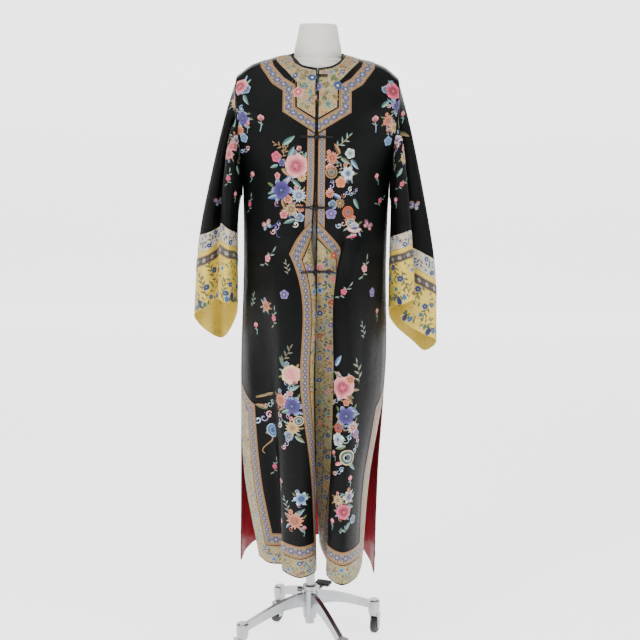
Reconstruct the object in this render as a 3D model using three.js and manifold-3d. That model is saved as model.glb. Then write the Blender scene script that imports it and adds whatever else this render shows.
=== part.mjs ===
// An embroidered silk robe, open down the front, on a limbless dress form with a four-caster stand.
// Millimetres, +Z up, the front faces -Y. Right and left are the wearer's: right is -X.
// Every cloth piece is a thin wall over one of a few cloth surfaces: two fronts, two backs, two sleeves.
import * as THREE from 'three';
import Module from 'manifold-3d';
import { mergeVertices } from 'three/addons/utils/BufferGeometryUtils.js';

// ---------------------------------------------------------------- driving sizes
const WALL = 1.8;              // cloth with its lining
const TRIM = 1.0;              // an applied border or ribbon
const SEAM = 0.6;              // half the gap between two pieces that are sewn together
const LIFT = 0.4;              // gap under what lies on a panel
const BINDING = 4;             // black bound edge that shows outside the borders
const EMBROIDERED = 48;        // width of the embroidered border
const LINE = 2;                // black line between border and ribbon
const RIBBON = 25;             // woven ribbon down the openings
const WIDE_RIBBON = 35;        // woven ribbon at the hem and round the yoke
const NARROW_RIBBON = 18;      // woven ribbon beside the buttons
const Z_TOP = 1600;            // nominal height of the shoulders
const Z_HEM = 258;             // nominal height of the hem
const Z_UNDERARM = 1262;
const Z_SLIT_HEAD = 757;
const POLE_RADIUS = 12.5;
const RUNNING_GAP = 0.35;
const ARM_REACH = 203;         // hub axis to caster axis
const ARM_TURN = 0.458;        // how far the four arms are turned from the X and Y axes
const SOCKET_TOP = 106;
const WHEEL_RADIUS = 24;
const FACETS = 16;             // sides of a turned part; a wheel stands on one of its sixteen
const SAME = 2e-6;             // points on a panel that are nearer than this, in shares, are one
const WELD = 1e-4;             // corners of a solid that are nearer than this are one

const group = new THREE.Group();
const inner = new THREE.Group();
group.add(inner);

const MATERIALS = {
  satin: { color: 0x14171a, roughness: 0.45, metalness: 0 },
  binding: { color: 0x0b0c0e, roughness: 0.5, metalness: 0 },
  cream: { color: 0xcdc39a, roughness: 0.6, metalness: 0 },
  ribbon: { color: 0xa48a5c, roughness: 0.7, metalness: 0 },
  cuff: { color: 0xd8c266, roughness: 0.55, metalness: 0 },
  dark_ribbon: { color: 0x4a4438, roughness: 0.7, metalness: 0 },
  lining: { color: 0x7e1f2c, roughness: 0.5, metalness: 0 },
  linen: { color: 0xe2dfd6, roughness: 0.85, metalness: 0 },
  metal: { color: 0xb9bcc0, roughness: 0.35, metalness: 1 },
  rubber: { color: 0x2a2b2d, roughness: 0.8, metalness: 0 },
};

function place(name, geometry, finish) {
  const mesh = new THREE.Mesh(geometry, new THREE.MeshStandardMaterial(MATERIALS[finish]));
  mesh.name = name;
  inner.add(mesh);
  return mesh;
}

// ---------------------------------------------------------------- curves
const vec = (x, y, z) => new THREE.Vector3(x, y, z);

// One smooth value through knots that are unevenly spaced.
function smooth(knots, values, t) {
  const last = knots.length - 1;
  let k = 0;
  while (k < last - 1 && t > knots[k + 1]) k += 1;
  const slope = (i) => {
    if (i === 0) return (values[1] - values[0]) / (knots[1] - knots[0]);
    if (i === last) return (values[last] - values[last - 1]) / (knots[last] - knots[last - 1]);
    const before = (values[i] - values[i - 1]) / (knots[i] - knots[i - 1]);
    const after = (values[i + 1] - values[i]) / (knots[i + 1] - knots[i]);
    const share = (knots[i] - knots[i - 1]) / (knots[i + 1] - knots[i - 1]);
    return before * (1 - share) + after * share;
  };
  const h = knots[k + 1] - knots[k];
  const s = (t - knots[k]) / h;
  return values[k] * (1 + 2 * s) * (1 - s) ** 2 + slope(k) * h * s * (1 - s) ** 2
    + values[k + 1] * s * s * (3 - 2 * s) + slope(k + 1) * h * s * s * (s - 1);
}

function smoothPoint(knots, points, t) {
  return vec(...['x', 'y', 'z'].map((axis) => smooth(knots, points.map((p) => p[axis]), t)));
}

// The lengths along a polyline, from its start.
function lengths(points) {
  const sums = [0];
  for (let i = 1; i < points.length; i += 1) sums.push(sums[i - 1] + points[i].distanceTo(points[i - 1]));
  return sums;
}

function alongPolyline(points, sums, share) {
  const target = share * sums[sums.length - 1];
  let k = 0;
  while (k < points.length - 2 && target > sums[k + 1]) k += 1;
  return points[k].clone().lerp(points[k + 1], (target - sums[k]) / (sums[k + 1] - sums[k]));
}

// A smooth open or closed curve through control points, as an evenly walked polyline.
const CURVE_STEPS = 8;         // points of the walk between two control points
function walk(points, closed) {
  const loop = closed ? [...points.slice(-2), ...points, ...points.slice(0, 3)] : points;
  const knots = lengths(loop);
  const from = closed ? 2 : 0;
  const to = closed ? points.length + 2 : points.length - 1;
  const out = [];
  for (let i = from; i < to; i += 1) {
    for (let k = 0; k < CURVE_STEPS; k += 1) {
      out.push(smoothPoint(knots, loop, knots[i] + (k / CURVE_STEPS) * (knots[i + 1] - knots[i])));
    }
  }
  out.push(loop[to].clone());
  return out;
}

const downFromTop = (z) => (Z_TOP - z) / (Z_TOP - Z_HEM);

// ---------------------------------------------------------------- the cloth surfaces of the body
// From the shoulders to under the arms: half a section from the centre to the side.
const FRONT_LEVELS = [
  // z, half: x of the side, centre: y at the centre, side: y at the side
  { z: 1540, half: 206, centre: -96, side: -46 },
  { z: 1440, half: 201, centre: -122, side: -54 },
  { z: 1290, half: 190, centre: -134, side: -14 },
];
const BACK_LEVELS = [
  { z: 1540, half: 206, centre: 84, side: 46 },
  { z: 1440, half: 201, centre: 108, side: 54 },
  { z: 1290, half: 190, centre: 116, side: 14 },
];
// From the neckline at the centre over the neck's side to the shoulder's end.
const NECK_HALF = 69;          // x of the shoulder line's start, at the neck's side
const CENTRE_X = 0.8;          // x of a panel's centre edge at the neck
const FRONT_NECKLINE = [[CENTRE_X, -63, 1582], [34, -57, 1588], [58, -36, 1603], [NECK_HALF, -SEAM, 1622]];
const BACK_NECKLINE = [[CENTRE_X, 60, 1619], [34, 54, 1619], [58, 34, 1620], [NECK_HALF, SEAM, 1622]];
const SHOULDER = [[106, 0, 1612], [147, 0, 1602], [182, 0, 1586], [203, 0, 1568]];
// How far a fold line drops and comes forward just below the shoulder line, and below the neckline.
const SHOULDER_DROP = { down: 9, out: 36, neckDown: 14, neckOut: 12, blend: 40, sideways: 2, share: 0.016 };

// The folds below the arms: a row for each fold line, from the centre to the side.
// Columns: x and y at the waist, at the slit's head, at the knee and at the hem, then z at the hem.
const LOW_LEVELS = [1100, 757, 500];
const FOLDS = {
  front_right: [
    { at: 'opening', waist: [-12, -112], slit: [-10, -98], knee: [-8, -56], hem: [-4, -24, 266] },
    { at: 'rolled crest', waist: [-6, -134], slit: [-1, -138], knee: [6, -120], hem: [12, -98, 258] },
    { at: 'ribbon', waist: [-48, -156], slit: [-36, -160], knee: [-28, -150], hem: [-28, -128, 252] },
    { at: 'tube edge', waist: [-98, -143], slit: [-84, -142], knee: [-75, -127], hem: [-73, -102, 262] },
    { at: 'valley', waist: [-132, -112], slit: [-110, -90], knee: [-88, -58], hem: [-68, -46, 258] },
    { at: 'side crest', waist: [-170, -62], slit: [-164, -62], knee: [-142, -52], hem: [-112, -32, 256] },
    { at: 'side edge', waist: [-187, -SEAM], slit: [-193, -1], knee: [-184, 4], hem: [-142, 10, 261] },
  ],
  front_left: [
    { at: 'opening', waist: [3, -124], slit: [3, -80], knee: [12, -28], hem: [25, 28, 294] },
    { at: 'border', waist: [31, -128], slit: [31, -88], knee: [32, -50], hem: [34, -22, 286] },
    { at: 'valley', waist: [62, -126], slit: [58, -92], knee: [56, -70], hem: [46, -72, 280] },
    { at: 'tube edge', waist: [62, -150], slit: [57, -152], knee: [53, -162], hem: [51, -160, 265] },
    { at: 'tube crest', waist: [92, -158], slit: [90, -177], knee: [84, -187], hem: [80, -186, 257] },
    { at: 'tube side', waist: [134, -130], slit: [130, -143], knee: [116, -150], hem: [115, -146, 257] },
    { at: 'side crest', waist: [172, -68], slit: [172, -70], knee: [137, -88], hem: [131, -94, 259] },
    { at: 'side edge', waist: [187, -SEAM], slit: [190, -1], knee: [154, -22], hem: [139, -42, 264] },
  ],
  back_right: [
    { at: 'centre', waist: [-0.6, 124], slit: [-0.6, 150], knee: [-0.6, 170], hem: [-0.6, 198, 258] },
    { at: 'flank', waist: [-46, 121], slit: [-48, 142], knee: [-52, 156], hem: [-56, 180, 256] },
    { at: 'valley', waist: [-92, 112], slit: [-96, 124], knee: [-102, 136], hem: [-108, 154, 252] },
    { at: 'second crest', waist: [-134, 96], slit: [-144, 116], knee: [-150, 150], hem: [-154, 186, 246] },
    { at: 'side crest', waist: [-172, 54], slit: [-182, 62], knee: [-188, 98], hem: [-184, 140, 236] },
    { at: 'side edge', waist: [-187, SEAM], slit: [-192, 4], knee: [-194, 38], hem: [-197, 72, 224] },
  ],
  back_left: [
    { at: 'centre', waist: [0.6, 124], slit: [0.6, 150], knee: [0.6, 170], hem: [0.6, 198, 258] },
    { at: 'flank', waist: [42, 122], slit: [42, 146], knee: [44, 164], hem: [46, 190, 257] },
    { at: 'valley', waist: [86, 114], slit: [88, 126], knee: [90, 140], hem: [92, 160, 250] },
    { at: 'second crest', waist: [130, 98], slit: [136, 120], knee: [138, 152], hem: [136, 184, 236] },
    { at: 'side crest', waist: [170, 54], slit: [178, 62], knee: [172, 98], hem: [166, 132, 214] },
    { at: 'side edge', waist: [187, SEAM], slit: [190, 4], knee: [180, 34], hem: [178, 58, 196] },
  ],
};

// The lines of one panel: for each fold line, its points from the shoulder to the hem.
function foldLines(name) {
  const rows = FOLDS[name];
  const back = name.startsWith('back');
  const side = name.endsWith('right') ? -1 : 1;
  const face = back ? 1 : -1;
  const ridge = SHOULDER.map(([x, y, z]) => [x, face * (SEAM + y), z]);
  const top = walk([...(back ? BACK_NECKLINE : FRONT_NECKLINE), ...ridge].map((p) => vec(...p)), false);
  for (const point of top) point.y = face * Math.max(face * point.y, SEAM);
  const sums = lengths(top);
  return rows.map((row, i) => {
    const share = i / (rows.length - 1);
    const turn = share * Math.PI / 2;
    const start = alongPolyline(top, sums, share);
    const drop = SHOULDER_DROP;
    const onNeck = Math.max(0, Math.min(1, (NECK_HALF - start.x) / drop.blend));
    const out = drop.out * (1 - onNeck) + drop.neckOut * onNeck;
    const down = drop.down * (1 - onNeck) + drop.neckDown * onNeck;
    const line = [start, vec(start.x + drop.sideways * share, start.y + face * out, start.z - down)];
    for (const level of back ? BACK_LEVELS : FRONT_LEVELS) {
      const x = level.half * Math.sin(turn) + CENTRE_X * (1 - share);
      line.push(vec(x, level.side + (level.centre - level.side) * Math.cos(turn) ** 2, level.z));
    }
    for (const point of line) point.x *= side;
    line.push(vec(...row.waist, LOW_LEVELS[0]));
    line.push(vec(...row.slit, LOW_LEVELS[1]));
    line.push(vec(...row.knee, LOW_LEVELS[2]));
    line.push(vec(...row.hem));
    return line;
  });
}
const PANEL_KNOTS = [0, SHOULDER_DROP.share, downFromTop(1540), downFromTop(1440), downFromTop(1290),
  ...LOW_LEVELS.map(downFromTop), 1];

// A cloth surface: rows of points at shares u across and v down, and the way out of the cloth.
class Cloth {
  constructor(rows, us, vs, closed) {
    Object.assign(this, { rows, us, vs, closed });
    this.normals = rows.map((row, j) => row.map((_, i) => this.wayOut(j, i)));
  }

  // section gives the line across the cloth at one v; the points are spaced evenly along it.
  static along(section, us, vs, closed) {
    const lines = vs.map(section);
    const sums = lines.map(lengths);
    const rows = lines.map((line, j) => us.map((u) => alongPolyline(line, sums[j], u)));
    const cloth = new Cloth(rows, us, vs, closed);
    cloth.widths = sums.map((list) => list[list.length - 1]);
    return cloth;
  }

  wayOut(j, i) {
    const { rows, us, vs, closed } = this;
    const count = us.length;
    const left = closed && i === 0 ? count - 2 : Math.max(i - 1, 0);
    const right = closed && i === count - 1 ? 1 : Math.min(i + 1, count - 1);
    const across = rows[j][right].clone().sub(rows[j][left]);
    const down = rows[Math.min(j + 1, vs.length - 1)][i].clone().sub(rows[Math.max(j - 1, 0)][i]);
    return across.cross(down).normalize();
  }

  turnedOut(toward) {
    const sum = this.normals.flat().reduce((total, n) => total + n.dot(toward), 0);
    if (sum < 0) this.normals.flat().forEach((n) => n.negate());
    return this;
  }

  moved(j, i, distance) {
    return this.rows[j][i].clone().addScaledVector(this.normals[j][i], distance);
  }
}

// A closed wall between two distances from the surface, over part of its rows and columns.
function wallOf(cloth, from, to, rows = [0, cloth.vs.length - 1], columns = [0, cloth.us.length - 1]) {
  const cells = [];
  for (let j = rows[0]; j < rows[1]; j += 1) {
    for (let i = columns[0]; i < columns[1]; i += 1) {
      cells.push([[j, i], [j, i + 1], [j + 1, i + 1]]);
      cells.push([[j, i], [j + 1, i + 1], [j + 1, i]]);
    }
  }
  const last = cloth.us.length - 1;
  const key = ([j, i]) => `${j},${cloth.closed && i === last ? 0 : i}`;
  return thicken(cells.map((cell) => cell.map((corner) => ({
    key: key(corner),
    near: cloth.moved(...corner, from),
    far: cloth.moved(...corner, to),
  }))));
}

// Triangles with a near and a far point at each corner become one closed body.
function thicken(triangles) {
  const index = new Map();
  const positions = [];
  const number = (corner) => {
    if (!index.has(corner.key)) {
      index.set(corner.key, positions.length / 3);
      positions.push(...corner.near.toArray(), ...corner.far.toArray());
    }
    return index.get(corner.key);
  };
  const edges = new Map();
  const faces = [];
  for (const triangle of triangles) {
    const [a, b, c] = triangle.map(number);
    if (a === b || b === c || a === c) continue;
    faces.push(a, b, c, c + 1, b + 1, a + 1);
    for (const [p, q] of [[a, b], [b, c], [c, a]]) {
      if (edges.has(`${q},${p}`)) edges.delete(`${q},${p}`);
      else edges.set(`${p},${q}`, [p, q]);
    }
  }
  for (const [p, q] of edges.values()) faces.push(q, p, p + 1, q, p + 1, q + 1);
  const geometry = new THREE.BufferGeometry();
  geometry.setAttribute('position', new THREE.Float32BufferAttribute(positions, 3));
  geometry.setIndex(faces);
  return facingOut(geometry);
}

// Turns all faces over where they enclose a negative volume.
function facingOut(geometry) {
  const p = geometry.attributes.position;
  const index = geometry.index.array;
  const corner = (i) => vec(p.getX(index[i]), p.getY(index[i]), p.getZ(index[i]));
  let volume = 0;
  for (let i = 0; i < index.length; i += 3) volume += corner(i).dot(corner(i + 1).cross(corner(i + 2)));
  if (volume < 0) {
    for (let i = 0; i < index.length; i += 3) [index[i], index[i + 1]] = [index[i + 1], index[i]];
  }
  return geometry;
}

// What lies on a panel: the panel's own facets, clipped to four-cornered patches in (u, v), moved out.
function clipped(polygon, patch) {
  let rest = polygon;
  for (let k = 0; k < patch.length && rest.length; k += 1) {
    const [au, av] = patch[k];
    const [bu, bv] = patch[(k + 1) % patch.length];
    const inside = (p) => (bu - au) * (p.v - av) - (bv - av) * (p.u - au);
    const next = [];
    rest.forEach((p, i) => {
      const q = rest[(i + 1) % rest.length];
      const [dp, dq] = [inside(p), inside(q)];
      if (dp >= 0) next.push(p);
      if ((dp > 0 && dq < 0) || (dp < 0 && dq > 0)) {
        const t = dp / (dp - dq);
        const mix = (name) => p[name].clone().lerp(q[name], t);
        const [u, v] = [p.u + t * (q.u - p.u), p.v + t * (q.v - p.v)];
        next.push({ u, v, near: mix('near'), far: mix('far') });
      }
    });
    rest = next;
  }
  return rest;
}

function overlay(cloth, patches, thickness = TRIM) {
  const { us, vs } = cloth;
  const low = WALL + LIFT;
  const triangles = [];
  const corner = (j, i) => ({
    u: us[i], v: vs[j], near: cloth.moved(j, i, low), far: cloth.moved(j, i, low + thickness),
  });
  const turned = patches.map((patch) => {
    const area = patch.reduce((sum, [u, v], k) => {
      const [nu, nv] = patch[(k + 1) % patch.length];
      return sum + u * nv - nu * v;
    }, 0);
    return area < 0 ? [...patch].reverse() : patch;
  });
  for (let j = 0; j < vs.length - 1; j += 1) {
    for (let i = 0; i < us.length - 1; i += 1) {
      const [a, b, c, d] = [corner(j, i), corner(j, i + 1), corner(j + 1, i + 1), corner(j + 1, i)];
      for (const cell of [[a, b, c], [a, c, d]]) {
        for (const patch of turned) {
          const piece = clipped(cell, patch);
          for (const p of piece) p.key = `${Math.round(p.u / SAME)},${Math.round(p.v / SAME)}`;
          const clean = piece.filter((p, k) => p.key !== piece[(k + 1) % piece.length].key);
          for (let k = 1; k < clean.length - 1; k += 1) triangles.push([clean[0], clean[k], clean[k + 1]]);
        }
      }
    }
  }
  return thicken(triangles);
}

// ---------------------------------------------------------------- fronts and backs
// The two borders: distances of their edges from the opening, from the slit and from the hem.
const RIBBON_EDGE = BINDING + EMBROIDERED + LINE;
const BORDER = {
  embroidered: { side: [BINDING, BINDING + EMBROIDERED], hem: [BINDING, BINDING + EMBROIDERED] },
  ribbon: { side: [RIBBON_EDGE, RIBBON_EDGE + RIBBON], hem: [RIBBON_EDGE, RIBBON_EDGE + WIDE_RIBBON] },
};
// The borders' upper ends: the height of the point, the ribbon's and the black line's depth, the slope.
const CHEVRON = { apex: 1210, ribbonDepth: 42, lineDepth: 4, slope: 1.1 };
const HEAD = { apex: 760, ribbonDepth: 34, lineDepth: 4, slope: 0.62 };

const step = (from, to, share) => from + (to - from) * share;
const span = (from, to, count) => Array.from({ length: count }, (_, i) => step(from, to, i / count));
const FRONT_ROWS = [...span(0, 0.05, 2), ...span(0.05, 0.3, 4), ...span(0.3, 1, 8), 1];
const BACK_ROWS = [...span(0, 0.05, 2), ...span(0.05, 0.3, 3), ...span(0.3, 1, 8), 1];
const COLUMNS = { front_right: 15, front_left: 15, back_right: 10, back_left: 10 };

const panels = {};
for (const name of Object.keys(FOLDS)) {
  const lines = foldLines(name);
  const back = name.startsWith('back');
  const face = back ? 1 : -1;
  const section = (v) => {
    const points = lines.map((line) => smoothPoint(PANEL_KNOTS, line, v));
    const side = points[points.length - 1];
    if (v < downFromTop(Z_SLIT_HEAD)) side.y = face * Math.max(face * side.y, SEAM);
    const line = walk(points, false);
    if (v === 0) for (const point of line) point.y = face * Math.max(face * point.y, SEAM);
    return line;
  };
  const columns = [...span(0, 1, COLUMNS[name]), 1];
  const panel = Cloth.along(section, columns, back ? BACK_ROWS : FRONT_ROWS, false);
  panel.turnedOut(vec(0, face, 0));
  panel.length = lines[0].reduce((sum, p, k, all) => (k ? sum + p.distanceTo(all[k - 1]) : 0), 0);
  panels[name] = panel;
  place(name, wallOf(panel, 0, WALL), 'satin');
}

// Shares across a panel: a distance from its centre edge, or from its side edge where it is negative.
function acrossShare(panel, distance, v) {
  const width = smooth(panel.vs, panel.widths, v);
  return distance >= 0 ? distance / width : 1 + distance / width;
}
const at = (panel, distance, v) => [acrossShare(panel, distance, v), v];
const fromHem = (panel, distance) => 1 - distance / panel.length;

// A band between two edges, each a list of (u, v) points, cut into four-cornered patches.
function patchesBetween(near, far) {
  return near.slice(1).map((point, k) => [near[k], point, far[k + 1], far[k]]);
}

// The edge of a border: from the point of the chevron down the opening, along the hem, up the slit.
// offset: distance from the opening and the slit; rise: from the hem; the depths put it under the heads.
function borderEdge(panel, offset, rise, chevronDepth, headDepth, hasOpening) {
  const chevron = (distance) => downFromTop(CHEVRON.apex - chevronDepth - CHEVRON.slope * distance);
  const head = (distance) => downFromTop(HEAD.apex - headDepth - HEAD.slope * distance);
  const foot = fromHem(panel, rise);
  const steps = (from, to, count, distance) => span(from, to, count).map((v) => at(panel, distance, v));
  const down = hasOpening
    ? [at(panel, BINDING, chevron(BINDING)), ...steps(chevron(offset), foot, 4, offset)]
    : [];
  const start = hasOpening ? at(panel, offset, foot) : at(panel, 0, foot);
  const up = [...steps(foot, head(offset), 3, -offset), at(panel, -offset, head(offset))];
  return [...down, start, ...up, at(panel, -BINDING, head(BINDING))];
}

for (const [name, panel] of Object.entries(panels)) {
  const front = name.startsWith('front');
  const depths = {
    embroidered: [CHEVRON.ribbonDepth + CHEVRON.lineDepth, HEAD.ribbonDepth + HEAD.lineDepth],
    ribbon: [0, 0],
  };
  for (const [kind, border] of Object.entries(BORDER)) {
    const [chevronDepth, headDepth] = depths[kind];
    const ends = kind === 'ribbon' ? [CHEVRON.ribbonDepth, HEAD.ribbonDepth] : [chevronDepth, headDepth];
    const near = borderEdge(panel, border.side[0], border.hem[0], ...ends, front);
    const far = borderEdge(panel, border.side[1], border.hem[1], chevronDepth, headDepth, front);
    const solid = overlay(panel, patchesBetween(near, far));
    place(`${kind}_${name}`, solid, kind === 'ribbon' ? 'ribbon' : 'cream');
  }
}

// ---------------------------------------------------------------- the yoke and the narrow ribbons
// Finds the share of a panel whose point has this x and z, by searching ever finer.
const SEARCH = { rounds: 14, steps: 6, lowest: 0.3 };
function locate(panel, x, z) {
  const side = Math.sign(panel.rows[0][panel.us.length - 1].x);
  const distance = (u, v) => {
    const p = pointAt(panel, u, v);
    return Math.hypot(p.x - side * x, p.z - z);
  };
  let best = [0.5, 0.1];
  let [across, down] = best;
  for (let round = 0; round < SEARCH.rounds; round += 1) {
    const [bu, bv] = best;
    let least = distance(bu, bv);
    for (let i = -SEARCH.steps; i <= SEARCH.steps; i += 1) {
      for (let j = -SEARCH.steps; j <= SEARCH.steps; j += 1) {
        const u = Math.min(1, Math.max(0, bu + (across * i) / SEARCH.steps));
        const v = Math.min(SEARCH.lowest, Math.max(0, bv + (down * j) / SEARCH.steps));
        const d = distance(u, v);
        if (d < least) [least, best] = [d, [u, v]];
      }
    }
    [across, down] = [across / 2, down / 2];
  }
  return best;
}

function pointAt(panel, u, v) {
  const { us, vs, rows } = panel;
  const cell = (list, t) => {
    let k = 0;
    while (k < list.length - 2 && t > list[k + 1]) k += 1;
    return [k, (t - list[k]) / (list[k + 1] - list[k])];
  };
  const [i, s] = cell(us, u);
  const [j, t] = cell(vs, v);
  const upper = rows[j][i].clone().lerp(rows[j][i + 1], s);
  return upper.lerp(rows[j + 1][i].clone().lerp(rows[j + 1][i + 1], s), t);
}

// Outlines from the shoulder to the centre: x and z of the edge nearer the neck, then of the outer one.
const YOKE = {
  front: {
    embroidered: [
      [73, 1620, 106, 1612], [70, 1613, 103, 1601], [58, 1596, 77, 1577],
      [38, 1586, 51, 1550], [4, 1579, 50, 1490], [5, 1520, 4, 1464],
    ],
    ribbon: [
      [118, 1609, 147, 1603], [110, 1589, 144, 1586], [82, 1560, 114, 1546],
      [55, 1544, 86, 1529], [54, 1489, 86, 1477], [4, 1459, 4, 1427],
    ],
  },
  back: {
    embroidered: [[73, 1620, 106, 1612], [62, 1612, 100, 1580], [36, 1607, 58, 1554], [3, 1606, 3, 1546]],
    ribbon: [[118, 1609, 147, 1603], [106, 1574, 134, 1556], [62, 1547, 76, 1516], [3, 1540, 3, 1506]],
  },
};
for (const [name, panel] of Object.entries(panels)) {
  for (const [kind, rows] of Object.entries(YOKE[name.split('_')[0]])) {
    const near = rows.map(([x, z]) => locate(panel, x, z));
    const far = rows.map(([, , x, z]) => locate(panel, x, z));
    const solid = overlay(panel, patchesBetween(near, far));
    place(`yoke_${kind}_${name}`, solid, kind === 'ribbon' ? 'ribbon' : 'cream');
  }
}

const NARROW = { top: 1424, topRise: 0.6, clear: 2 };
for (const name of ['front_right', 'front_left']) {
  const panel = panels[name];
  const [from, to] = [BINDING, BINDING + NARROW_RIBBON];
  const topV = (distance) => downFromTop(NARROW.top + NARROW.topRise * (distance - from));
  const footV = (distance) => downFromTop(CHEVRON.apex + NARROW.clear - CHEVRON.slope * distance);
  const edge = (distance) => [topV(distance), footV(distance)].map((v) => at(panel, distance, v));
  place(`narrow_ribbon_${name}`, overlay(panel, patchesBetween(edge(from), edge(to))), 'ribbon');
}

// ---------------------------------------------------------------- the back's lining
const LINING = { thickness: 1, width: 0.45, head: 740, foot: 10 };
for (const name of ['back_right', 'back_left']) {
  const panel = panels[name];
  const head = panel.vs.findIndex((v) => v > downFromTop(LINING.head));
  const first = panel.us.findIndex((u) => u > 1 - LINING.width);
  const part = wallOf(panel, -LIFT - LINING.thickness, -LIFT, [head, panel.vs.length - 1],
    [first, panel.us.length - 1]);
  place(`lining_${name}`, part, 'lining');
}

// ---------------------------------------------------------------- the sleeves
// A row for each fold line round the sleeve, from its outer fold by the front to the back.
// Columns: x outward, y and z at the upper arm, the elbow, the band's top and the cuff's edge.
const SLEEVES = {
  right: [
    { at: 'outer fold', upper: [231, -6, 1484], elbow: [274, -8, 1306],
      band: [304, -8, 1150], cuff: [318, -8, 942] },
    { at: 'outer lobe', upper: [221, -26, 1466], elbow: [254, -34, 1302],
      band: [278, -36, 1163], cuff: [290, -36, 962] },
    { at: 'crease', upper: [211, -20, 1448], elbow: [236, -18, 1300],
      band: [250, -18, 1178], cuff: [258, -18, 985] },
    { at: 'lobe edge', upper: [218, -54, 1430], elbow: [238, -58, 1292],
      band: [242, -60, 1189], cuff: [249, -60, 990] },
    { at: 'lobe', upper: [210, -68, 1385], elbow: [224, -76, 1276],
      band: [226, -78, 1178], cuff: [228, -78, 984] },
    { at: 'lobe inside', upper: [200, -50, 1325], elbow: [206, -54, 1248],
      band: [208, -54, 1166], cuff: [208, -54, 982] },
    { at: 'underarm', upper: [197, -6, 1252], elbow: [204, -8, 1200],
      band: [206, -8, 1140], cuff: [206, -8, 955] },
    { at: 'back inside', upper: [204, 40, 1325], elbow: [212, 36, 1230],
      band: [214, 34, 1108], cuff: [220, 40, 912] },
    { at: 'back lobe', upper: [216, 54, 1395], elbow: [236, 52, 1270],
      band: [246, 54, 1075], cuff: [250, 66, 864] },
    { at: 'back crease', upper: [219, 40, 1430], elbow: [252, 34, 1284],
      band: [268, 34, 1090], cuff: [276, 38, 878] },
    { at: 'back outer', upper: [228, 22, 1468], elbow: [267, 20, 1300],
      band: [296, 20, 1125], cuff: [306, 24, 905] },
  ],
  left: [
    { at: 'outer fold', upper: [231, -6, 1478], elbow: [274, -8, 1298],
      band: [314, -8, 1096], cuff: [326, -8, 880] },
    { at: 'outer lobe', upper: [222, -22, 1464], elbow: [254, -26, 1290],
      band: [280, -26, 1118], cuff: [290, -26, 900] },
    { at: 'crease', upper: [208, -20, 1440], elbow: [218, -18, 1286],
      band: [226, -20, 1150], cuff: [230, -20, 942] },
    { at: 'lobe edge', upper: [216, -54, 1420], elbow: [238, -60, 1266],
      band: [247, -62, 1180], cuff: [262, -64, 998] },
    { at: 'lobe', upper: [206, -68, 1380], elbow: [216, -76, 1260],
      band: [221, -80, 1172], cuff: [230, -82, 988] },
    { at: 'lobe inside', upper: [198, -50, 1325], elbow: [200, -54, 1244],
      band: [200, -54, 1160], cuff: [202, -54, 977] },
    { at: 'underarm', upper: [197, -6, 1250], elbow: [200, -8, 1196],
      band: [200, -8, 1130], cuff: [200, -8, 950] },
    { at: 'back inside', upper: [204, 40, 1322], elbow: [208, 36, 1222],
      band: [214, 36, 1096], cuff: [222, 40, 908] },
    { at: 'back lobe', upper: [216, 54, 1392], elbow: [238, 52, 1262],
      band: [262, 52, 1070], cuff: [272, 58, 862] },
    { at: 'back crease', upper: [222, 42, 1430], elbow: [252, 36, 1280],
      band: [284, 36, 1064], cuff: [297, 44, 842] },
    { at: 'back outer', upper: [229, 22, 1464], elbow: [270, 20, 1292],
      band: [308, 20, 1080], cuff: [320, 18, 858] },
  ],
};
const SLEEVE_KNOTS = [0, 0.17, 0.445, 0.69, 1];
const BAND_LENGTH = 206;       // from the band's top to the cuff's edge
const CUFF_TOP = 156;
const DARK_RIBBON = [118, 143];
const UNDERARM_LINE = 6;       // which fold line is the underarm seam
const ARMHOLE_GAP = { shoulder: 0.6, underarm: 2.6, from: 1520, to: 1430 };
const aboveCuff = (distance) => 1 - (distance / BAND_LENGTH) * (1 - SLEEVE_KNOTS[3]);

// The armhole's edge of one panel, from the shoulder down, just clear of the panel's own wall.
function armholeSide(sideName, panelName) {
  const side = sideName === 'right' ? -1 : 1;
  const panel = panels[`${panelName}_${sideName}`];
  const last = panel.us.length - 1;
  const foot = downFromTop(Z_UNDERARM);
  const count = panel.vs.findIndex((v) => v >= foot);
  const t = (foot - panel.vs[count - 1]) / (panel.vs[count] - panel.vs[count - 1]);
  const clear = (j) => {
    const edge = panel.rows[j][last];
    const { shoulder, underarm, from, to } = ARMHOLE_GAP;
    const gap = shoulder + (underarm - shoulder) * Math.min(1, Math.max(0, (from - edge.z) / (from - to)));
    return edge.clone().add(vec(side * (Math.abs(panel.normals[j][last].x) * WALL + gap), 0, 0));
  };
  const points = panel.vs.slice(0, count).map((_, j) => clear(j));
  const lowest = points[count - 1].clone().lerp(clear(count), t);
  points[0].y = 0;
  lowest.y = 0;
  return [...points, lowest];
}

function armholeEdge(sideName) {
  return [...armholeSide(sideName, 'front'), ...armholeSide(sideName, 'back').reverse().slice(1)];
}

function sleeveLines(sideName) {
  const side = sideName === 'right' ? -1 : 1;
  const rows = SLEEVES[sideName];
  return rows.map((row, k) => {
    const front = k <= UNDERARM_LINE;
    const share = front ? k / UNDERARM_LINE : (rows.length - k) / (rows.length - UNDERARM_LINE);
    const edge = armholeSide(sideName, front ? 'front' : 'back');
    const start = alongPolyline(edge, lengths(edge), share);
    const later = [row.upper, row.elbow, row.band, row.cuff].map(([x, y, z]) => vec(side * x, y, z));
    return [start, ...later];
  });
}

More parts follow.
